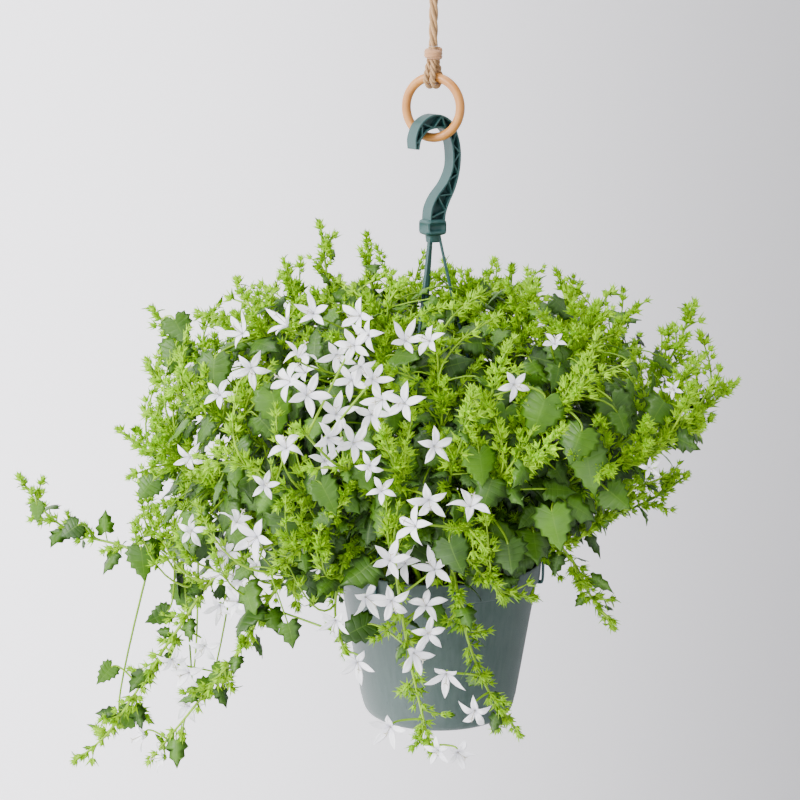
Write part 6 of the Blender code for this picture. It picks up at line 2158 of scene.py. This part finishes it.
draw = np.random.default_rng(16)
hanging = stem_paths[:, -1, 2] < POT_RIM_Z
on_shoots = dress(shoot_paths, shoot_lengths, np.full(len(shoot_paths), SHOOT_DRESS), SHOOT_CALYX_GAP, draw)
on_stems = dress(stem_paths, stem_lengths, np.where(hanging, TRAIL_DRESS, STEM_DRESS), STEM_CALYX_GAP, draw)
bud_feet = np.array([bud["stalk"][-1] for bud in kinds["bud"]])
on_buds = [bud_feet] + [every("bud", key) for key in ("place", "facing", "size")]
bases, places, facing, sizes = (np.concatenate(group) for group in zip(on_shoots, on_stems, on_buds))
room = has_room(places + 0.4 * sizes[:, None] * facing, 0.45 * sizes)
bases, places, facing, sizes = bases[room], places[room], facing[room], sizes[room]
count = len(places)
side, over = square_to(facing, TILTED_HINT)
spread = np.broadcast_to(template, (count,) + template.shape).copy()
open_by = np.where(spread[..., 2] > 0.3, draw.uniform(0.65, 1.35, (count, 1)), 1)
spread[..., :2] *= open_by[..., None]
# Calyces deep in the bush get a lower tone and a darker lime, and those at its surface a paler one: painted
# shade inside and painted light outside, with random tone on top.
depth = np.linalg.norm((places - CROWN) / DOME, axis=1)
tones_and_shade = np.clip(np.interp(depth, [0.5, 1.1], [0.15, 0.75]) + draw.normal(0, 0.15, count), 0, 1)
for name, half in (("calyces_one", slice(0, count // 2)), ("calyces_two", slice(count // 2, count))):
    points = planted(spread[half], places[half], side[half], over[half], facing[half], sizes[half])
    faces = planted_faces([calyx_faces], len(points), len(template))
    foliage(name, points, faces, calyx_finish, tones_and_shade[half], smooth=False)
print("calyces", count)

# %% The calyces behind the blooms, and all short stalks
BLOOM_CUP, CUP_POINTS, CUP_LEVEL = 6.0, 7, 0.3
STALK_STATIONS, STALK_SIDES = 9, 6
count = len(bloom_places)
behind = bloom_places - 0.46 * bloom_reach[:, None] * bloom_facing
side, over = square_to(bloom_facing, TILTED_HINT)
cup = template.copy()
cup[-CUP_POINTS:, 2] = np.minimum(cup[-CUP_POINTS:, 2], CUP_LEVEL)
points = planted(cup, behind, side, over, bloom_facing, np.full(count, BLOOM_CUP))
faces = planted_faces([calyx_faces], count, len(template))
foliage("bloom_calyces", points, faces, calyx_finish, draw.uniform(0.3, 0.9, count), smooth=False)
points, faces = tubes(np.stack([bases, places + 0.1 * facing], axis=1), 0.42, 3)
foliage("calyx_stalks", points, faces, stem_finish, draw.uniform(0.4, 1.0, len(bases)))
on_stalks = kinds["bloom"] + kinds["leaf"] + kinds["bud"]
stalk_paths = stalks_of(on_stalks, STALK_STATIONS)
points, faces = tubes(stalk_paths, np.linspace(0.85, 0.6, STALK_STATIONS), STALK_SIDES)
foliage("stalks", points, faces, stem_finish, draw.uniform(0.3, 0.9, len(on_stalks)))

# %% The bracts
BRACT_SHARE = 0.24
bract, face_sets = bract_template()
wanted = draw.random(len(bases)) < BRACT_SHARE
foot, axis = bases[wanted], facing[wanted]
count = len(foot)
along = units(axis * 0.7 + 0.6 * draw.normal(size=(count, 3)) + [0, 0, -0.1])
side = units(np.cross(along, axis + [0, 0, 0.05]))
sizes = draw.uniform(5.0, 9.5, count)
room = has_room(foot + 0.5 * sizes[:, None] * along, 0.3 * sizes)
points = planted(bract, foot[room], side[room], along[room], np.cross(side, along)[room], sizes[room])
count = len(points)
foliage("bracts", points, planted_faces(face_sets, count, len(bract)), bract_finish, draw.random(count))
print("bracts", count)

# %% [markdown]
# ## The studio
#
# The basket hangs in a round pale studio: a floor that curves up into a drum-shaped wall, so every side has
# the same plain backdrop. The wall glows, and its colour and glow are painted paler to the left, where the
# big soft key light stands, and darker to the right: painted light and shade. A second, weaker light fills
# the right, and the open top lets in an even sky.

# %% The backdrop
WALL_RADIUS, WALL_TOP_Z = 3300.0, 2600.0
FLOOR_RADIUS, FLOOR_Z = 1500.0, -2050.0
COVE_RADIUS, COVE_STEPS = 900, 10
STUDIO_COLUMNS = 96
PAINTED_LIGHT_FROM, PAINTED_SHADE_FROM = -1.35, 1.25
backdrop, tree, shader = new_finish("studio_wall")
# The wall's colour and glow are painted from pale on the left to dark on the right: a painted falloff of
# light, not lamps.
painted_falloff_ramp = {"Value": tree.parts(tree.object_place())[0], "From Min": PAINTED_LIGHT_FROM, "From Max": PAINTED_SHADE_FROM}
across = tree.add("ShaderNodeMapRange", painted_falloff_ramp, interpolation_type="SMOOTHSTEP").outputs[0]
tree.wire(shader, {
    "Base Color": tree.mix(across, (0.70, 0.688, 0.715, 1), (0.36, 0.36, 0.366, 1)),
    "Roughness": 0.9,
    "Specular IOR Level": 0.1,
    "Emission Color": tree.mix(across, (1.0, 0.985, 1.02, 1), (0.05, 0.05, 0.052, 1)),
    "Emission Strength": 1.9,
})
cove = np.linspace(0, math.pi / 2, COVE_STEPS)
cove_out = WALL_RADIUS - COVE_RADIUS + COVE_RADIUS * np.sin(cove)
cove_up = FLOOR_Z + COVE_RADIUS - COVE_RADIUS * np.cos(cove)
floor, top = [(1.0, FLOOR_Z), (FLOOR_RADIUS, FLOOR_Z)], [(WALL_RADIUS, WALL_TOP_Z)]
profile = np.vstack([floor, np.column_stack([cove_out, cove_up]), top])
shell = turned_surface(profile, STUDIO_COLUMNS, np.zeros(3)).reshape(-1, 3)
shell_faces = grid_faces(len(profile), STUDIO_COLUMNS, round_columns=True)[:, ::-1]
studio = bpy.data.meshes.new("studio")
studio.from_pydata((shell * MM).tolist(), [], shell_faces.tolist())
studio.materials.append(backdrop)
studio.shade_smooth()
in_scene("studio", studio)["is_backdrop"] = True
print("studio", len(shell_faces), "faces")

# %% The lights
BUSH = Vector((0, 0, -0.38))


def soft_light(name, place, size, power):
    """A square area light that looks at the bush."""
    light = bpy.data.lights.new(name, "AREA")
    light.size = size
    light.energy = power
    lamp = in_scene(name, light)
    lamp.location = place
    lamp.rotation_euler = (BUSH - Vector(place)).to_track_quat("-Z", "Y").to_euler()


soft_light("key", (-1.9, -1.3, 0.9), 1.3, 120)
soft_light("fill", (1.9, -1.6, 0.2), 1.8, 7)
soft_light("top", (0.0, 0.2, 1.7), 1.5, 42)
sky = bpy.data.worlds.new("sky")
sky.use_nodes = True
even_light = sky.node_tree.nodes["Background"]
even_light.inputs["Color"].default_value = (0.93, 0.95, 1.0, 1)
even_light.inputs["Strength"].default_value = 0.34
bpy.context.scene.world = sky
print("lights", 3)

# %% The dressed box beside the imported one
dressed_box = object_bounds()
sizes = {"cad": [list(corner) for corner in packed_box], "visual": [list(corner) for corner in dressed_box]}
print("packed", packed_box, "dressed", dressed_box)
